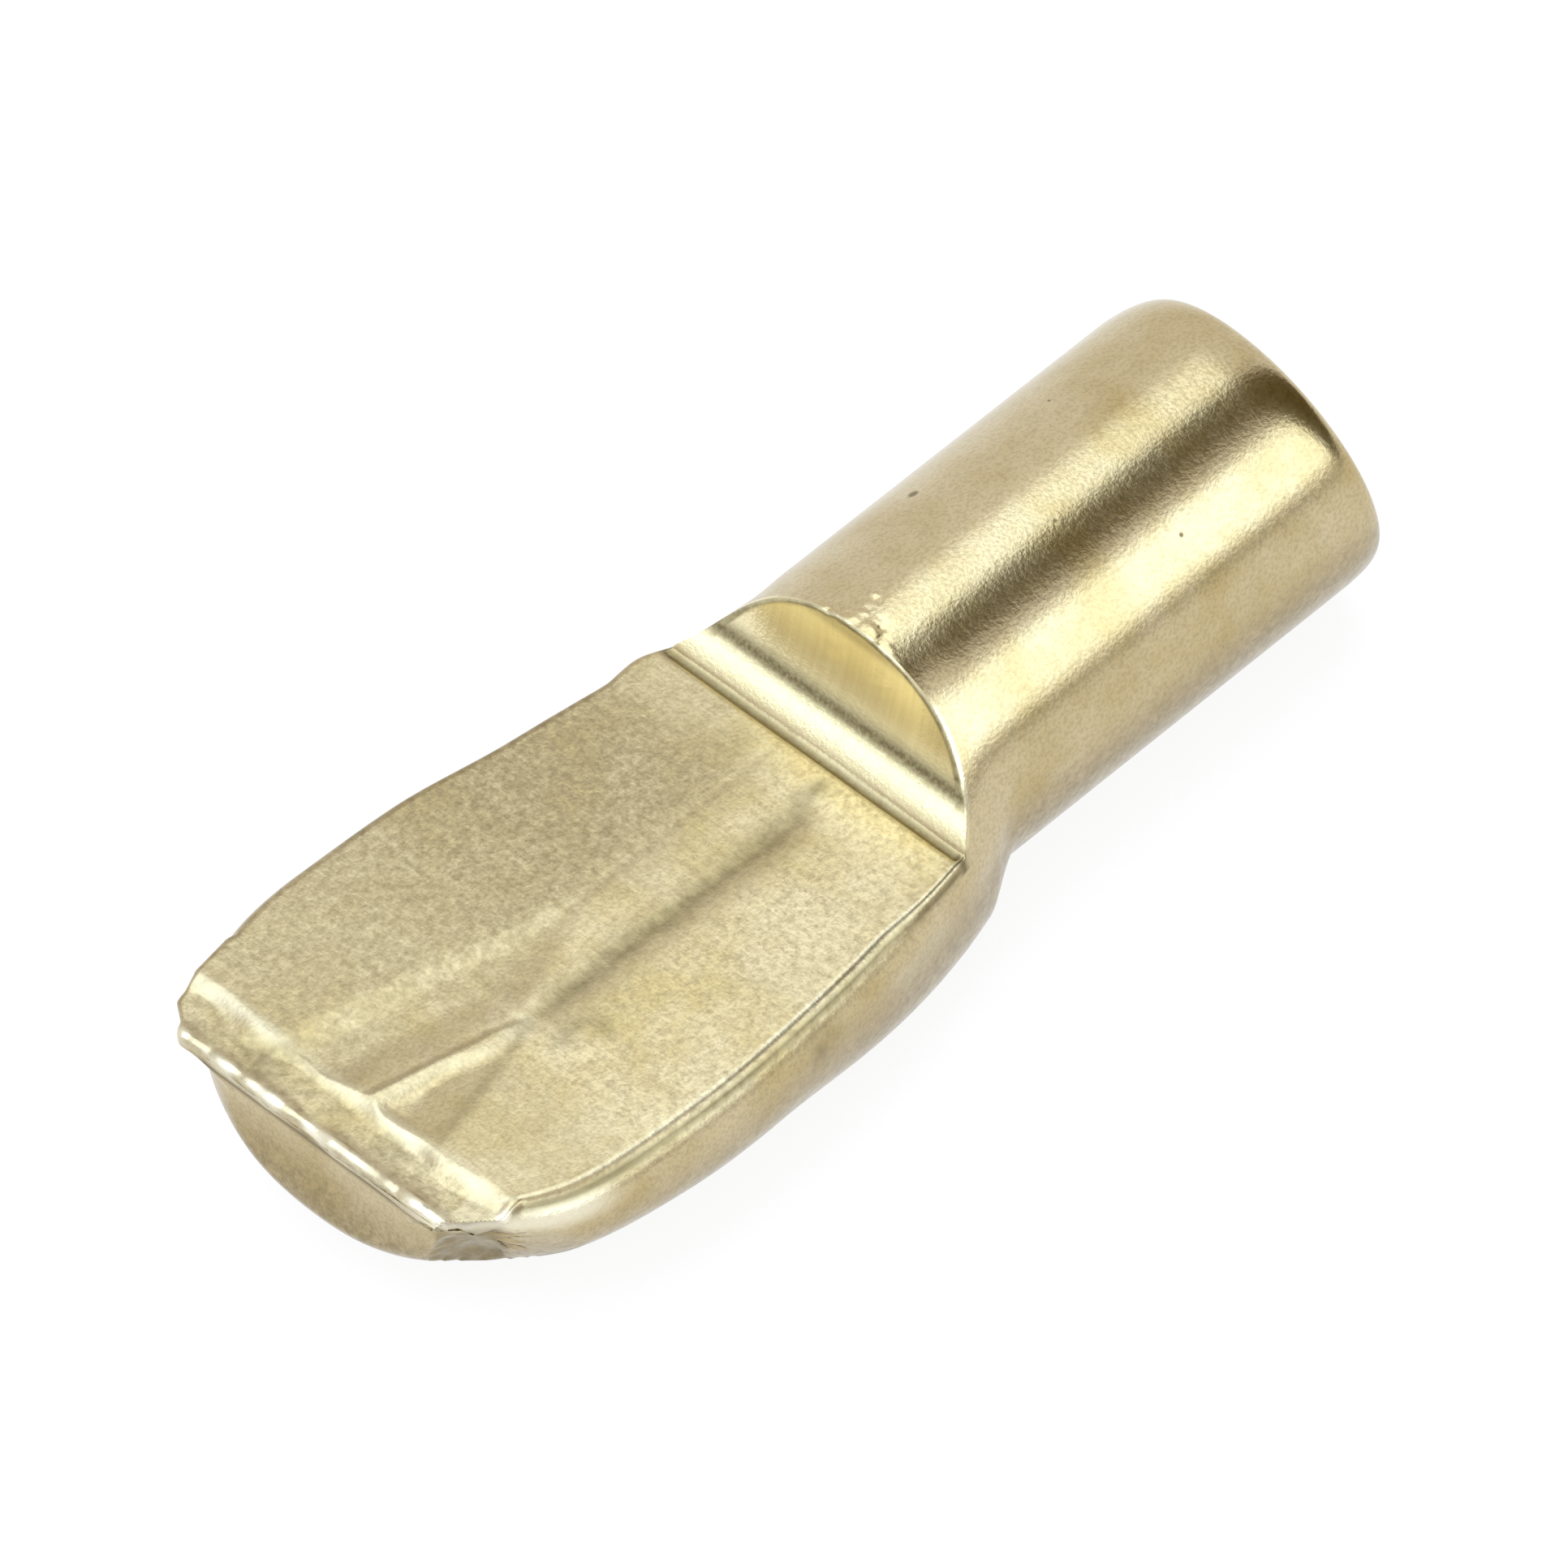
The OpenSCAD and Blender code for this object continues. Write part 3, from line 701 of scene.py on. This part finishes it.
def blade_ring(form, x):
    """The ring of the blade at x: first across the seat, then round the body below it."""
    drop = form.lip_drop * float(ease((form.step + 0.1 - x) / 0.3))
    (left_y, left_z), (right_y, right_z) = [
        side_line(form, x, side, form.seat_height - drop, edge)
        for side, edge in zip((1, -1), plate_edges(form, x))]
    y, z = np.r_[right_y, left_y[::-1][1:]], np.r_[right_z, left_z[::-1][1:]]
    run = running_length(y, z)
    at = spread(run, BODY_COLUMNS)
    body_y, body_z = round_under_tip(form, x, np.interp(at, run, y), np.interp(at, run, z))
    # the press's marks fade out at the seat's edges
    seat_y = np.linspace(left_y[0], right_y[0], CREST_COLUMNS + 2)[1:-1]
    seat_x = np.full(CREST_COLUMNS, x)
    inside = ease(np.minimum(seat_y - right_y[0], left_y[0] - seat_y) / 0.12)
    depth = mix(drop, press_marks(form, seat_x, seat_y), inside)
    groove = bell((form.foot - x) / form.groove_width, 0.45, 0.33)
    depth += form.groove_depth * groove * inside
    depth -= undulation(np.c_[seat_x, seat_y, seat_y * 0]) * inside
    return np.c_[np.full(CREST_COLUMNS + BODY_COLUMNS, x), np.r_[seat_y, body_y],
                 np.r_[form.seat_height - depth, body_z]]


FACE_MIDDLE = -0.45     # height that the tip's face draws in to, in millimetres
FAN_COLUMNS = 7         # of the face's last ring, on each side below the lip


def add_tip_face(form, skin, last):
    """The tip's face: it draws in by level rows, so that the lip's overhang doesn't fold."""
    rim = skin.all_points()[last]
    middle = np.array([form.tip, form.tip_drift, FACE_MIDDLE])
    rows = middle + (rim - middle) * (1, 0, 0.85)
    for share in np.r_[1 - np.linspace(0, 0.2, 12)[1:], np.linspace(0.8, 0.05, 9)[1:]]:
        last = skin.grow(rows + (rim - rows) * share, last)
    # its two sides meet in level bands, under a small fan at the lip
    sides = last[CREST_COLUMNS:]
    arch = np.r_[sides[-FAN_COLUMNS:], last[:CREST_COLUMNS], sides[:FAN_COLUMNS]]
    skin.fan(skin.ring([skin.all_points()[arch].mean(axis=0)]), arch, True)
    k = np.arange(FAN_COLUMNS - 1, len(sides) // 2 - 1)
    skin.faces.append(np.c_[sides[k + 1], sides[k], sides[-1 - k], sides[-2 - k]])


def make_skin(form):
    """Points and faces of the whole pin."""
    skin = Skin()
    last = add_stem(form, skin, *columns(form))
    last = add_wall(form, skin, last)
    for x in blade_rows(form):
        last = skin.grow(blade_ring(form, x), last)
    add_tip_face(form, skin, last)
    return skin.all_points(), skin.triangles_and_quads()


def break_corner(form, mesh):
    """Cuts off the broken corner, and gives the rough face that is left its own points."""
    corner, outward = form.break_plane()
    bmesh.ops.bisect_plane(mesh, geom=mesh.verts[:] + mesh.edges[:] + mesh.faces[:],
                           dist=0.0001, plane_co=corner, plane_no=outward, clear_outer=True)
    edges = [edge for edge in mesh.edges if edge.is_boundary]
    face = bmesh.ops.holes_fill(mesh, edges=edges, sides=0)["faces"][0]
    rim = [loop.vert for loop in face.loops]
    middle = sum((vert.co for vert in rim), Vector()) / len(rim)
    mesh.faces.remove(face)
    last = rim
    for share in np.linspace(0.88, 0.18, 6):
        places = np.array([middle + (vert.co - middle) * float(share) for vert in rim])
        _, inside = form.on_break(places)
        rough = 0.03 * grain(places, 0.22, 21) + 0.01 * grain(places, 0.08, 22)
        swell = 0.05 * min(1.0, (1 - share) * 3)
        places += outward * mix(swell, rough - 0.03, inside)[:, None]
        ring = [mesh.verts.new(place) for place in places]
        for k in range(len(rim)):
            mesh.faces.new((last[k - 1], last[k], ring[k], ring[k - 1]))
        last = ring
    hub = mesh.verts.new(middle)
    for k in range(len(rim)):
        mesh.faces.new((last[k - 1], last[k], hub))
    bmesh.ops.triangulate(mesh, faces=[f for f in mesh.faces if len(f.verts) > 4])


def raise_burr(form, points):
    """A low uneven bead along the tip's upper edge, which hangs a little over the face."""
    x, y, z = points.T
    where = np.c_[y * 0, y, y * 0]
    wander = grain(where, 0.6, 13)
    uneven = 0.7 + 0.5 * grain(where, 0.4, 11) + 0.22 * grain(where, 0.2, 12)
    upper = ease((z - form.lip_top + 0.26) / 0.24)
    wide = 0.09 + 0.025 * wander
    bend = np.clip((form.tip + wide - x) / wide, 0, 1)
    rise = (form.burr_height * uneven * bell(x, form.tip, 0.13)
            + 0.03 * wander * bell(x, form.tip, 0.2)
            - 0.09 * (1 - np.sqrt(1 - bend ** 2)))
    hang = bell(x, form.tip, 0.05) * ease((z - form.lip_top + 0.26) / 0.12)
    out = points.copy()
    out[:, 2] += rise * upper
    out[:, 0] -= (0.05 * uneven + 0.03 * wander) * hang
    # the end face is full low down
    near_tip = ease((form.tip + 0.7 - x) / 0.7)
    out[:, 0] -= TIP_FULLNESS * bell(z, -1.05, 0.45) * bell(y, 0.1, 1.8) * near_tip
    return out


def soften_creases(points, faces, limit, rounds):
    """Rounds off the edges that turn by more than the limit, like a worn and plated edge."""
    quads = np.array([face if len(face) == 4 else face + face[-1:] for face in faces])
    normal = np.cross(points[quads[:, 2]] - points[quads[:, 0]],
                      points[quads[:, 3]] - points[quads[:, 1]])
    normal /= np.linalg.norm(normal, axis=1)[:, None] + 1e-12
    pairs = np.concatenate([quads[:, [k, (k + 1) % 4]] for k in range(4)])
    owner = np.tile(np.arange(len(quads)), 4)
    real = pairs[:, 0] != pairs[:, 1]
    pairs, owner = np.sort(pairs[real], axis=1), owner[real]
    order = np.lexsort((pairs[:, 1], pairs[:, 0]))
    pairs, owner = pairs[order], owner[order]
    same = (pairs[1:] == pairs[:-1]).all(axis=1)
    turn = (normal[owner[1:]] * normal[owner[:-1]]).sum(axis=1)
    sharp = pairs[1:][same & (turn < math.cos(limit))]
    edges = pairs[np.r_[True, ~same]]
    amount = np.zeros(len(points))
    amount[sharp.ravel()] = 1
    degree = np.bincount(edges.ravel(), minlength=len(points))
    for _ in range(rounds):
        moved = np.zeros_like(points)
        for axis in range(3):
            moved[:, axis] = (
                np.bincount(edges[:, 0], points[edges[:, 1], axis], len(points))
                + np.bincount(edges[:, 1], points[edges[:, 0], axis], len(points))) / degree
        points = points + (moved - points) * (0.5 * amount)[:, None]
    return points


# ---------------------------------------- sizes and colours

def length(label, size, about):
    return bpy.props.FloatProperty(
        name=label, description=about, default=size * MM, min=0.0, unit="LENGTH", precision=5)


def turn(label, degrees, about):
    return bpy.props.FloatProperty(
        name=label, description=about, default=math.radians(degrees), subtype="ANGLE")


def ratio(label, value, about, low=0.0, high=10.0):
    return bpy.props.FloatProperty(
        name=label, description=about, default=value, min=low, max=high)


def tint(label, value, about):
    return bpy.props.FloatVectorProperty(
        name=label, description=about, default=value, size=3, min=0.0, max=1.0, subtype="COLOR")


class ShelfPinSizes(bpy.types.PropertyGroup):
    """Sizes of the pin; X runs along the pin and Z is up."""

    pin_diameter: length("Pin diameter", 5.0, "Diameter of the round stem")
    pin_length: length("Pin length", 7.7, "Length of the stem from the swelling to its end")
    end_round: length("End round", 0.33, "Width of the rounding at the free end")
    end_run: length("End run", 1.0, "Length of the rounding at the free end")
    end_crown: length("End crown", 0.16, "How far the free end's face bulges")
    end_square: ratio("End squareness", 1.4, "How much squarer the rounding is on the right")
    end_tilt: turn("End tilt", 12, "How far the free end's face leans up")
    end_turn: turn("End turn", 3.5, "How far the free end's face turns to the right")
    swell_length: length("Swelling", 0.8, "Length over which the stem widens to the blade")
    wall_radius: length("Wall radius", 2.9, "Radius of the hollow shoulder wall")
    wall_start: length("Wall start", 2.3, "Height at which the shoulder wall starts to curve")
    groove_width: length("Groove width", 0.2, "Width of the groove at the wall's foot")
    groove_depth: length("Groove depth", 0.045, "Depth of the groove at the wall's foot")
    blade_length: length("Blade length", 10.3, "Length of the flattened blade")
    seat_height: length("Seat height", 0.45, "Height of the flat above the stem's middle")
    blade_width: length("Blade width", 7.28, "Greatest width of the blade")
    root_width: length("Root width", 5.83, "Width of the blade at the shoulder")
    nose_width: length("Nose width", 3.84, "Width of the blade at the tip")
    widest_at: length("Widest at", 6.3, "Distance from the shoulder to the widest place")
    nose_fullness: ratio("Nose fullness", 4.7, "How late the blade draws in to the tip")
    tip_drift: length("Tip drift", 0.36, "How far the blade's middle drifts to the left")
    belly_start: length("Belly start", 2.0, "Where the underside starts to rise")
    tip_thickness: length("Tip thickness", 1.88, "Thickness of the blade at the tip")
    edge_width: length("Edge width", 0.12, "Width of the rounded corner beside the seat")
    edge_height: length("Edge height", 0.6, "Height of the blade's side above its widest line")
    edge_square: ratio("Edge squareness", 2.4, "How square the leaning side is")
    right_lean: ratio("Right lean", 0.54, "Lean of the right side, per square millimetre")
    left_lean: ratio("Left lean", 0.33, "Lean of the left side, per square millimetre")
    root_square: ratio("Root squareness", 3.7, "How square the blade is at the shoulder")
    belly_square: ratio("Belly squareness", 2.57, "How square the blade is at its middle")
    nose_square: ratio("Nose squareness", 2.18, "How square the blade is near the tip")
    root_bulge: length("Root bulge", 0.23, "Bulge at the root of the blade's left side")
    lip_length: length("Lip length", 0.8, "Length of the pressed lip at the tip")
    lip_drop: length("Lip drop", 0.12, "Depth of the lip below the flat")
    lip_thickness: length("Lip thickness", 0.26, "Thickness of the lip where it stands out")
    lip_width: length("Lip width", 4.9, "Width of the lip")
    broken_turn: turn("Broken turn", 43, "Turn of the broken corner's face")
    broken_width: length("Broken width", 0.9, "Width of the rough part of that face")
    broken_lean: turn("Broken lean", 21, "How far that face leans in under the blade")
    burr_height: length("Burr height", 0.08, "Height of the rough bead along the tip's edge")


class ShelfPinFinish(bpy.types.PropertyGroup):
    """Colours and wear of the plating, and of its painted shade and highlights."""

    brass: tint("Brass", (0.59, 0.49, 0.30), "Colour of the plating")
    deep_brass: tint("Deep brass", (0.50, 0.39, 0.19), "Colour where the plating is yellower")
    # also the colour of painted shade on the seat and low on the body
    haze: tint("Haze", (0.285, 0.221, 0.118), "Colour where the plating is dull and greyer")
    # lighter than bare brass alone: partly a painted reflection on the wall
    bare: tint("Bare", (0.97, 0.87, 0.56), "Colour of the freshly cut shoulder wall")
    # the colour of painted highlights along edges
    rubbed: tint("Rubbed", (0.90, 0.85, 0.68), "Colour of the edges that were rubbed bright")
    # also the colour of painted shade in creases, grooves and bands
    soot: tint("Soot", (0.13, 0.10, 0.045), "Colour of the dirt in creases and pits")
    roughness: ratio("Roughness", 0.19, "Roughness of the plating", 0.05, 1.0)
    pressed_roughness: ratio("Pressed roughness", 0.1, "What the pressed seat adds to it")
    grain_depth: length("Grain depth", 0.0032, "Depth of the fine grain in the plating")
    scratch_depth: length("Scratch depth", 0.004, "Depth of the short strokes on the seat")
    streak_depth: length("Streak depth", 0.0016, "Depth of the streaks on the shoulder wall")


class SHELFPIN_OT_pin(bpy.types.Operator):
    """Make the pressed, plated pin"""

    bl_idname = "shelfpin.pin"
    bl_label = "Make Pin"

    def execute(self, context):
        form = Form(context.scene.shelf_pin_sizes)
        points, faces = make_skin(form)
        work = bmesh.new()
        verts = [work.verts.new(point) for point in points]
        for face in faces:
            work.faces.new([verts[k] for k in face])
        break_corner(form, work)
        work.verts.index_update()
        points = np.array([vert.co[:] for vert in work.verts])
        faces = [[vert.index for vert in face.verts] for face in work.faces]
        work.free()
        points = soften_creases(points, faces, WORN_TURN, WORN_ROUNDS)
        points = press_nicks(raise_burr(form, points))
        mesh = bpy.data.meshes.new("pressed_pin")
        mesh.from_pydata((points * MM).tolist(), [], faces)
        for name, share in WearAndPaintedLight(form, points).masks().items():
            mask = mesh.attributes.new(name, "FLOAT", "POINT")
            mask.data.foreach_set("value", share.astype(np.float32))
        mesh.validate()
        mesh.shade_smooth()
        mesh.set_sharp_from_angle(angle=SHARP_TURN)
        pin = bpy.data.objects.new("pressed_pin", mesh)
        context.scene.collection.objects.link(pin)
        mesh.materials.append(plated_brass(context.scene.shelf_pin_finish, form.r))
        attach(pin, ROOT)
        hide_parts(NODE)
        return {"FINISHED"}


# ---------------------------------------- finish

def node(tree, kind, place, inputs=None, **settings):
    """A shader node; its inputs go by their names, each a value or a socket to link from."""
    made = tree.nodes.new("ShaderNode" + kind)
    made.location = place
    for name, value in settings.items():
        setattr(made, name, value)
    for name, value in (inputs or {}).items():
        if isinstance(value, bpy.types.NodeSocket):
            tree.links.new(value, made.inputs[name])
        else:
            made.inputs[name].default_value = value
    return made


def new_material(name):
    material = bpy.data.materials.new(name)
    material.use_nodes = True
    material.node_tree.nodes.clear()
    return material, material.node_tree


def blend(tree, place, share, first, second):
    """The colour that lies between two by a share."""
    made = node(tree, "Mix", place, {"Factor": share, "A": first, "B": second}, data_type="RGBA")
    return made.outputs["Result"]


def span(tree, place, value, low, high, to_low=0.0, to_high=1.0):
    """A value's place between low and high, clamped and stretched to a new range."""
    return node(tree, "MapRange", place, {
        "Value": value, "From Min": low, "From Max": high,
        "To Min": to_low, "To Max": to_high}).outputs[0]


def combine(tree, place, operation, first, second):
    made = node(tree, "Math", place, operation=operation)
    for socket, value in zip(made.inputs, (first, second)):
        if isinstance(value, bpy.types.NodeSocket):
            tree.links.new(value, socket)
        else:
            socket.default_value = value
    return made.outputs[0]


def noise(tree, place, where, scale, detail, stretch=None, turn_by=0.0, rough=0.6):
    """Noise with features of about 1 / scale metres; stretch squeezes it along the axes."""
    if stretch:
        where = node(tree, "Mapping", (place[0] - 200, place[1]), {
            "Vector": where, "Scale": stretch,
            "Rotation": (0.0, 0.0, math.radians(turn_by))}).outputs[0]
    return node(tree, "TexNoise", place, {
        "Vector": where, "Scale": scale, "Detail": detail, "Roughness": rough}).outputs["Fac"]


def stem_spots(tree, where, radius):
    """Dark pits in the stem of this radius, each a small round mask."""
    total = None
    for k, (x, y, wide) in enumerate(STEM_SPOTS):
        high = math.sqrt(radius ** 2 - y * y)
        away = node(tree, "VectorMath", (-1200, -900 - 200 * k), {0: where}, operation="DISTANCE")
        away.inputs[1].default_value = (x * MM, y * MM, high * MM)
        mask = span(tree, (-1000, -900 - 200 * k), away.outputs["Value"],
                    wide * 0.35 * MM, wide * 0.65 * MM, 0.8, 0.0)
        total = mask if total is None else combine(
            tree, (-800, -900 - 200 * k), "MAXIMUM", total, mask)
    return total


def plated_brass(finish, radius):
    """Thin brass plating: grained and mottled, with painted shade on the seat's left, low down
    and in its creases, painted highlights on its edges, and dirt and pits.
    """
    material, tree = new_material("plated_brass")
    where = node(tree, "TexCoord", (-1800, 0)).outputs["Object"]
    fine = noise(tree, (-1400, 500), where, 17000.0, 3.0)
    patch = noise(tree, (-1400, 250), where, 6500.0, 3.0, rough=0.75)
    cloud = noise(tree, (-1400, 0), where, 700.0, 3.0)
    streak = noise(tree, (-1400, -250), where, 11000.0, 3.0, (0.06, 1.0, 0.06))
    scratch = noise(tree, (-1400, -500), where, 7000.0, 2.0, (1.0, 0.12, 1.0), 24.0)
    masks = {}
    for k, name in enumerate(MASKS):
        masks[name] = node(tree, "Attribute", (-1400, 1400 - 200 * k),
                           attribute_name=name).outputs["Fac"]
    # dirt and painted shade, with the stem's pits
    dirt = combine(tree, (-600, 900), "MAXIMUM", masks["dirt"], stem_spots(tree, where, radius))
    dirt = combine(tree, (-400, 900), "MULTIPLY", dirt,
                   span(tree, (-600, 700), fine, 0.3, 0.6, 0.86, 1.05))
    # colour
    paint = blend(tree, (-600, 300), span(tree, (-800, 300), cloud, 0.4, 0.68),
                  (*finish.brass, 1), (*finish.deep_brass, 1))
    # greyer where the haze mask lies, which is painted shade, and in dull patches on the pressed
    # seat
    greyed = combine(tree, (-600, 1200), "MULTIPLY", masks["haze"],
                   span(tree, (-800, 1200), patch, 0.35, 0.65, 0.5, 1.1))
    greyed = combine(tree, (-500, 1100), "MAXIMUM", greyed, combine(
        tree, (-600, 1100), "MULTIPLY", masks["pressed"],
        span(tree, (-800, 1100), patch, 0.45, 0.64, 0.0, 0.5)))
    paint = blend(tree, (-400, 300), greyed, paint, (*finish.haze, 1))
    speck = span(tree, (-600, 100), fine, 0.36, 0.56, 0.23, 0.0)
    paint = blend(tree, (-200, 300), speck, paint, (*finish.soot, 1))
    lined = combine(tree, (-400, -100), "MULTIPLY", masks["wall"],
                    span(tree, (-600, -100), streak, 0.35, 0.6, 0.16, 0.0))
    # the wall's lighter colour, partly a painted reflection
    paint = blend(tree, (-100, 500), masks["wall"], paint, (*finish.bare, 1))
    paint = blend(tree, (0, 300), lined, paint, (*finish.deep_brass, 1))
    # painted highlights along edges
    paint = blend(tree, (200, 300), masks["rubbed"], paint, (*finish.rubbed, 1))
    paint = blend(tree, (400, 300), dirt, paint, (*finish.soot, 1))
    # roughness
    rough = span(tree, (0, 0), patch, 0.3, 0.7, finish.roughness * 0.9, finish.roughness * 1.15)
    rough = combine(tree, (100, -50), "ADD", rough, combine(
        tree, (0, -50), "MULTIPLY", masks["pressed"], finish.pressed_roughness))
    rough = combine(tree, (200, 0), "MAXIMUM", rough, combine(
        tree, (0, -150), "MULTIPLY", dirt, 0.5))
    # relief
    relief = node(tree, "Bump", (400, -300), {
        "Height": fine, "Distance": finish.grain_depth, "Strength": 1.0})
    lines = combine(tree, (200, -500), "MULTIPLY", masks["wall"], streak)
    relief = node(tree, "Bump", (600, -300), {
        "Height": lines, "Distance": finish.streak_depth, "Strength": 1.0,
        "Normal": relief.outputs[0]})
    strokes = combine(tree, (600, -500), "MULTIPLY", scratch,
                      span(tree, (400, -700), masks["pressed"], 0.0, 1.0, 0.3, 1.0))
    relief = node(tree, "Bump", (800, -300), {
        "Height": strokes, "Distance": finish.scratch_depth, "Strength": 1.0,
        "Normal": relief.outputs[0]})
    skin = node(tree, "BsdfPrincipled", (1000, 0), {
        "Metallic": 1.0, "Base Color": paint, "Roughness": rough, "Normal": relief.outputs[0]})
    node(tree, "OutputMaterial", (1300, 0), {"Surface": skin.outputs[0]})
    return material


# ---------------------------------------- studio

class ShelfPinStudio(bpy.types.PropertyGroup):
    """Camera, floor, soft boxes and cards."""

    camera_distance: length("Camera distance", 295.1, "From the camera to what it aims at")
    focal_length: bpy.props.FloatProperty(
        name="Focal length", description="Focal length in millimetres", default=490.4)
    key: ratio("Key light", 2.8, "Radiance of the soft boxes", 0.0, 50.0)
    daylight: tint("Daylight", (0.82, 0.92, 1.0), "Colour of the soft boxes")
    shade: tint("Shade", (1.0, 0.8, 0.35), "Colour of the dark cards")
    card: ratio("Cards", 0.15, "Radiance of the dark cards", 0.0, 1.0)


AIM = (-1.73, 0.44, -0.32)              # what the camera looks at, in millimetres
CAMERA_SIDE = (-0.478, -0.4545, 0.7516)  # the way from there to the camera
SENSOR_WIDTH = 36                       # of the camera, in millimetres
FLOOR_HALF = 400                        # half a side of the floor, in millimetres
FLOOR_GAP = 0.02                        # from the lowest part of the pin to the floor

# Soft boxes round the pin, each by its corners in millimetres
SOFT_BOXES = {
    "box_top": [(167, 149, 250), (155, 20, 250), (120, 3, 250), (100, -38, 250),
                (-375, -88, 250), (-400, 275, 250)],
    "box_right": [(60, -250, 42), (330, -250, 60), (330, -250, 348), (60, -250, 233)],
    "box_side": [(-220, -250, 25), (48, -250, 25), (48, -250, 170), (-220, -250, 170)],
    "box_left": [(-250, 250, 6), (-250, 44, 6), (-250, 44, 52), (-250, 250, 68)],
}
CARDS = {
    "card_low": [(60, -249, -2), (330, -249, -2), (330, -249, 18), (60, -249, 14)],
    "card_end": [(250, -205, -2), (250, 26, -2), (250, 26, 600), (250, -205, 600)],
}


def pale_strength(tree, place, seen, lit):
    """The strength that the camera and reflections see, or the one that lights."""
    path = node(tree, "LightPath", (place[0] - 600, place[1]))
    shown = combine(tree, (place[0] - 400, place[1]), "MAXIMUM",
                    path.outputs["Is Camera Ray"], path.outputs["Is Glossy Ray"])
    shown = combine(tree, (place[0] - 200, place[1]), "MAXIMUM",
                    shown, path.outputs["Is Transmission Ray"])
    return span(tree, place, shown, 0.0, 1.0, lit, seen)


def pale_world():
    world = bpy.data.worlds.new("pale_world")
    world.use_nodes = True
    tree = world.node_tree
    tree.nodes.clear()
    sky = node(tree, "Background", (0, 0), {
        "Color": (1.0, 1.0, 1.0, 1.0), "Strength": pale_strength(tree, (-200, 0), 1.0, 0.9)})
    node(tree, "OutputWorld", (200, 0), {"Surface": sky.outputs[0]})
    return world


def pale_floor():
    material, tree = new_material("pale_floor")
    paint = node(tree, "BsdfDiffuse", (0, 100), {"Color": (0.15, 0.15, 0.15, 1.0)})
    glow = node(tree, "Emission", (0, -100), {
        "Strength": pale_strength(tree, (-200, -100), 0.87, 0.72)})
    both = node(tree, "AddShader", (200, 0), {0: paint.outputs[0], 1: glow.outputs[0]})
    node(tree, "OutputMaterial", (400, 0), {"Surface": both.outputs[0]})
    return material


def panel_light(name, colour, radiance):
    material, tree = new_material(name)
    glow = node(tree, "Emission", (0, 0), {"Color": (*colour, 1.0), "Strength": radiance})
    node(tree, "OutputMaterial", (200, 0), {"Surface": glow.outputs[0]})
    return material


def flat_mesh(name, corners, material):
    """A flat sheet with these corners, which only the stage uses."""
    mesh = bpy.data.meshes.new(name)
    mesh.from_pydata([(x * MM, y * MM, z * MM) for x, y, z in corners], [],
                     [tuple(range(len(corners)))])
    mesh.materials.append(material)
    sheet = bpy.data.objects.new(name, mesh)
    bpy.context.scene.collection.objects.link(sheet)
    return sheet


class SHELFPIN_OT_studio(bpy.types.Operator):
    """Set up the camera, the pale floor and world, the soft boxes and the cards"""

    bl_idname = "shelfpin.studio"
    bl_label = "Set Up Studio"

    def execute(self, context):
        scene = context.scene
        studio = scene.shelf_pin_studio
        lens = bpy.data.cameras.new("camera")
        lens.sensor_width = SENSOR_WIDTH
        lens.lens = studio.focal_length
        lens.clip_start, lens.clip_end = 0.01, 10
        camera = bpy.data.objects.new("camera", lens)
        scene.collection.objects.link(camera)
        side = Vector(CAMERA_SIDE).normalized()
        camera.location = Vector(AIM) * MM + side * studio.camera_distance
        camera.rotation_euler = side.to_track_quat("Z", "Y").to_euler()
        scene.camera = camera
        scene.view_settings.view_transform = "Standard"
        scene.world = pale_world()
        low = SOLID_BOX[0][2] / MM - FLOOR_GAP
        corners = [(x * FLOOR_HALF, y * FLOOR_HALF, low)
                   for x, y in ((-1, -1), (1, -1), (1, 1), (-1, 1))]
        flat_mesh("floor", corners, pale_floor())
        for group, radiance in ((SOFT_BOXES, studio.key), (CARDS, studio.card)):
            for name, corners in group.items():
                colour = studio.daylight if group is SOFT_BOXES else studio.shade
                sheet = flat_mesh(name, corners, panel_light(name, colour, radiance))
                sheet.visible_camera = False
                sheet.visible_shadow = False
        return {"FINISHED"}


class SHELFPIN_PT_panel(bpy.types.Panel):
    """Sizes, finish and studio of the shelf pin"""

    bl_label = "Shelf Pin"
    bl_idname = "SHELFPIN_PT_panel"
    bl_space_type = "VIEW_3D"
    bl_region_type = "UI"
    bl_category = "Shelf Pin"

    def draw(self, context):
        scene = context.scene
        for title, group, operator in (
                ("Sizes", scene.shelf_pin_sizes, None),
                ("Finish", scene.shelf_pin_finish, "shelfpin.pin"),
                ("Studio", scene.shelf_pin_studio, "shelfpin.studio")):
            box = self.layout.box()
            box.label(text=title)
            for name in type(group).__annotations__:
                box.prop(group, name)
            if operator:
                box.operator(operator)


CLASSES = (ShelfPinSizes, ShelfPinFinish, ShelfPinStudio, SHELFPIN_OT_pin, SHELFPIN_OT_studio,
           SHELFPIN_PT_panel)


def register():
    for each in CLASSES:
        bpy.utils.register_class(each)
    scene = bpy.types.Scene
    scene.shelf_pin_sizes = bpy.props.PointerProperty(type=ShelfPinSizes)
    scene.shelf_pin_finish = bpy.props.PointerProperty(type=ShelfPinFinish)
    scene.shelf_pin_studio = bpy.props.PointerProperty(type=ShelfPinStudio)


def unregister():
    scene = bpy.types.Scene
    del scene.shelf_pin_studio, scene.shelf_pin_finish, scene.shelf_pin_sizes
    for each in reversed(CLASSES):
        bpy.utils.unregister_class(each)


def main():
    register()
    bpy.ops.shelfpin.pin()
    bpy.ops.shelfpin.studio()


if __name__ == "__main__":
    main()
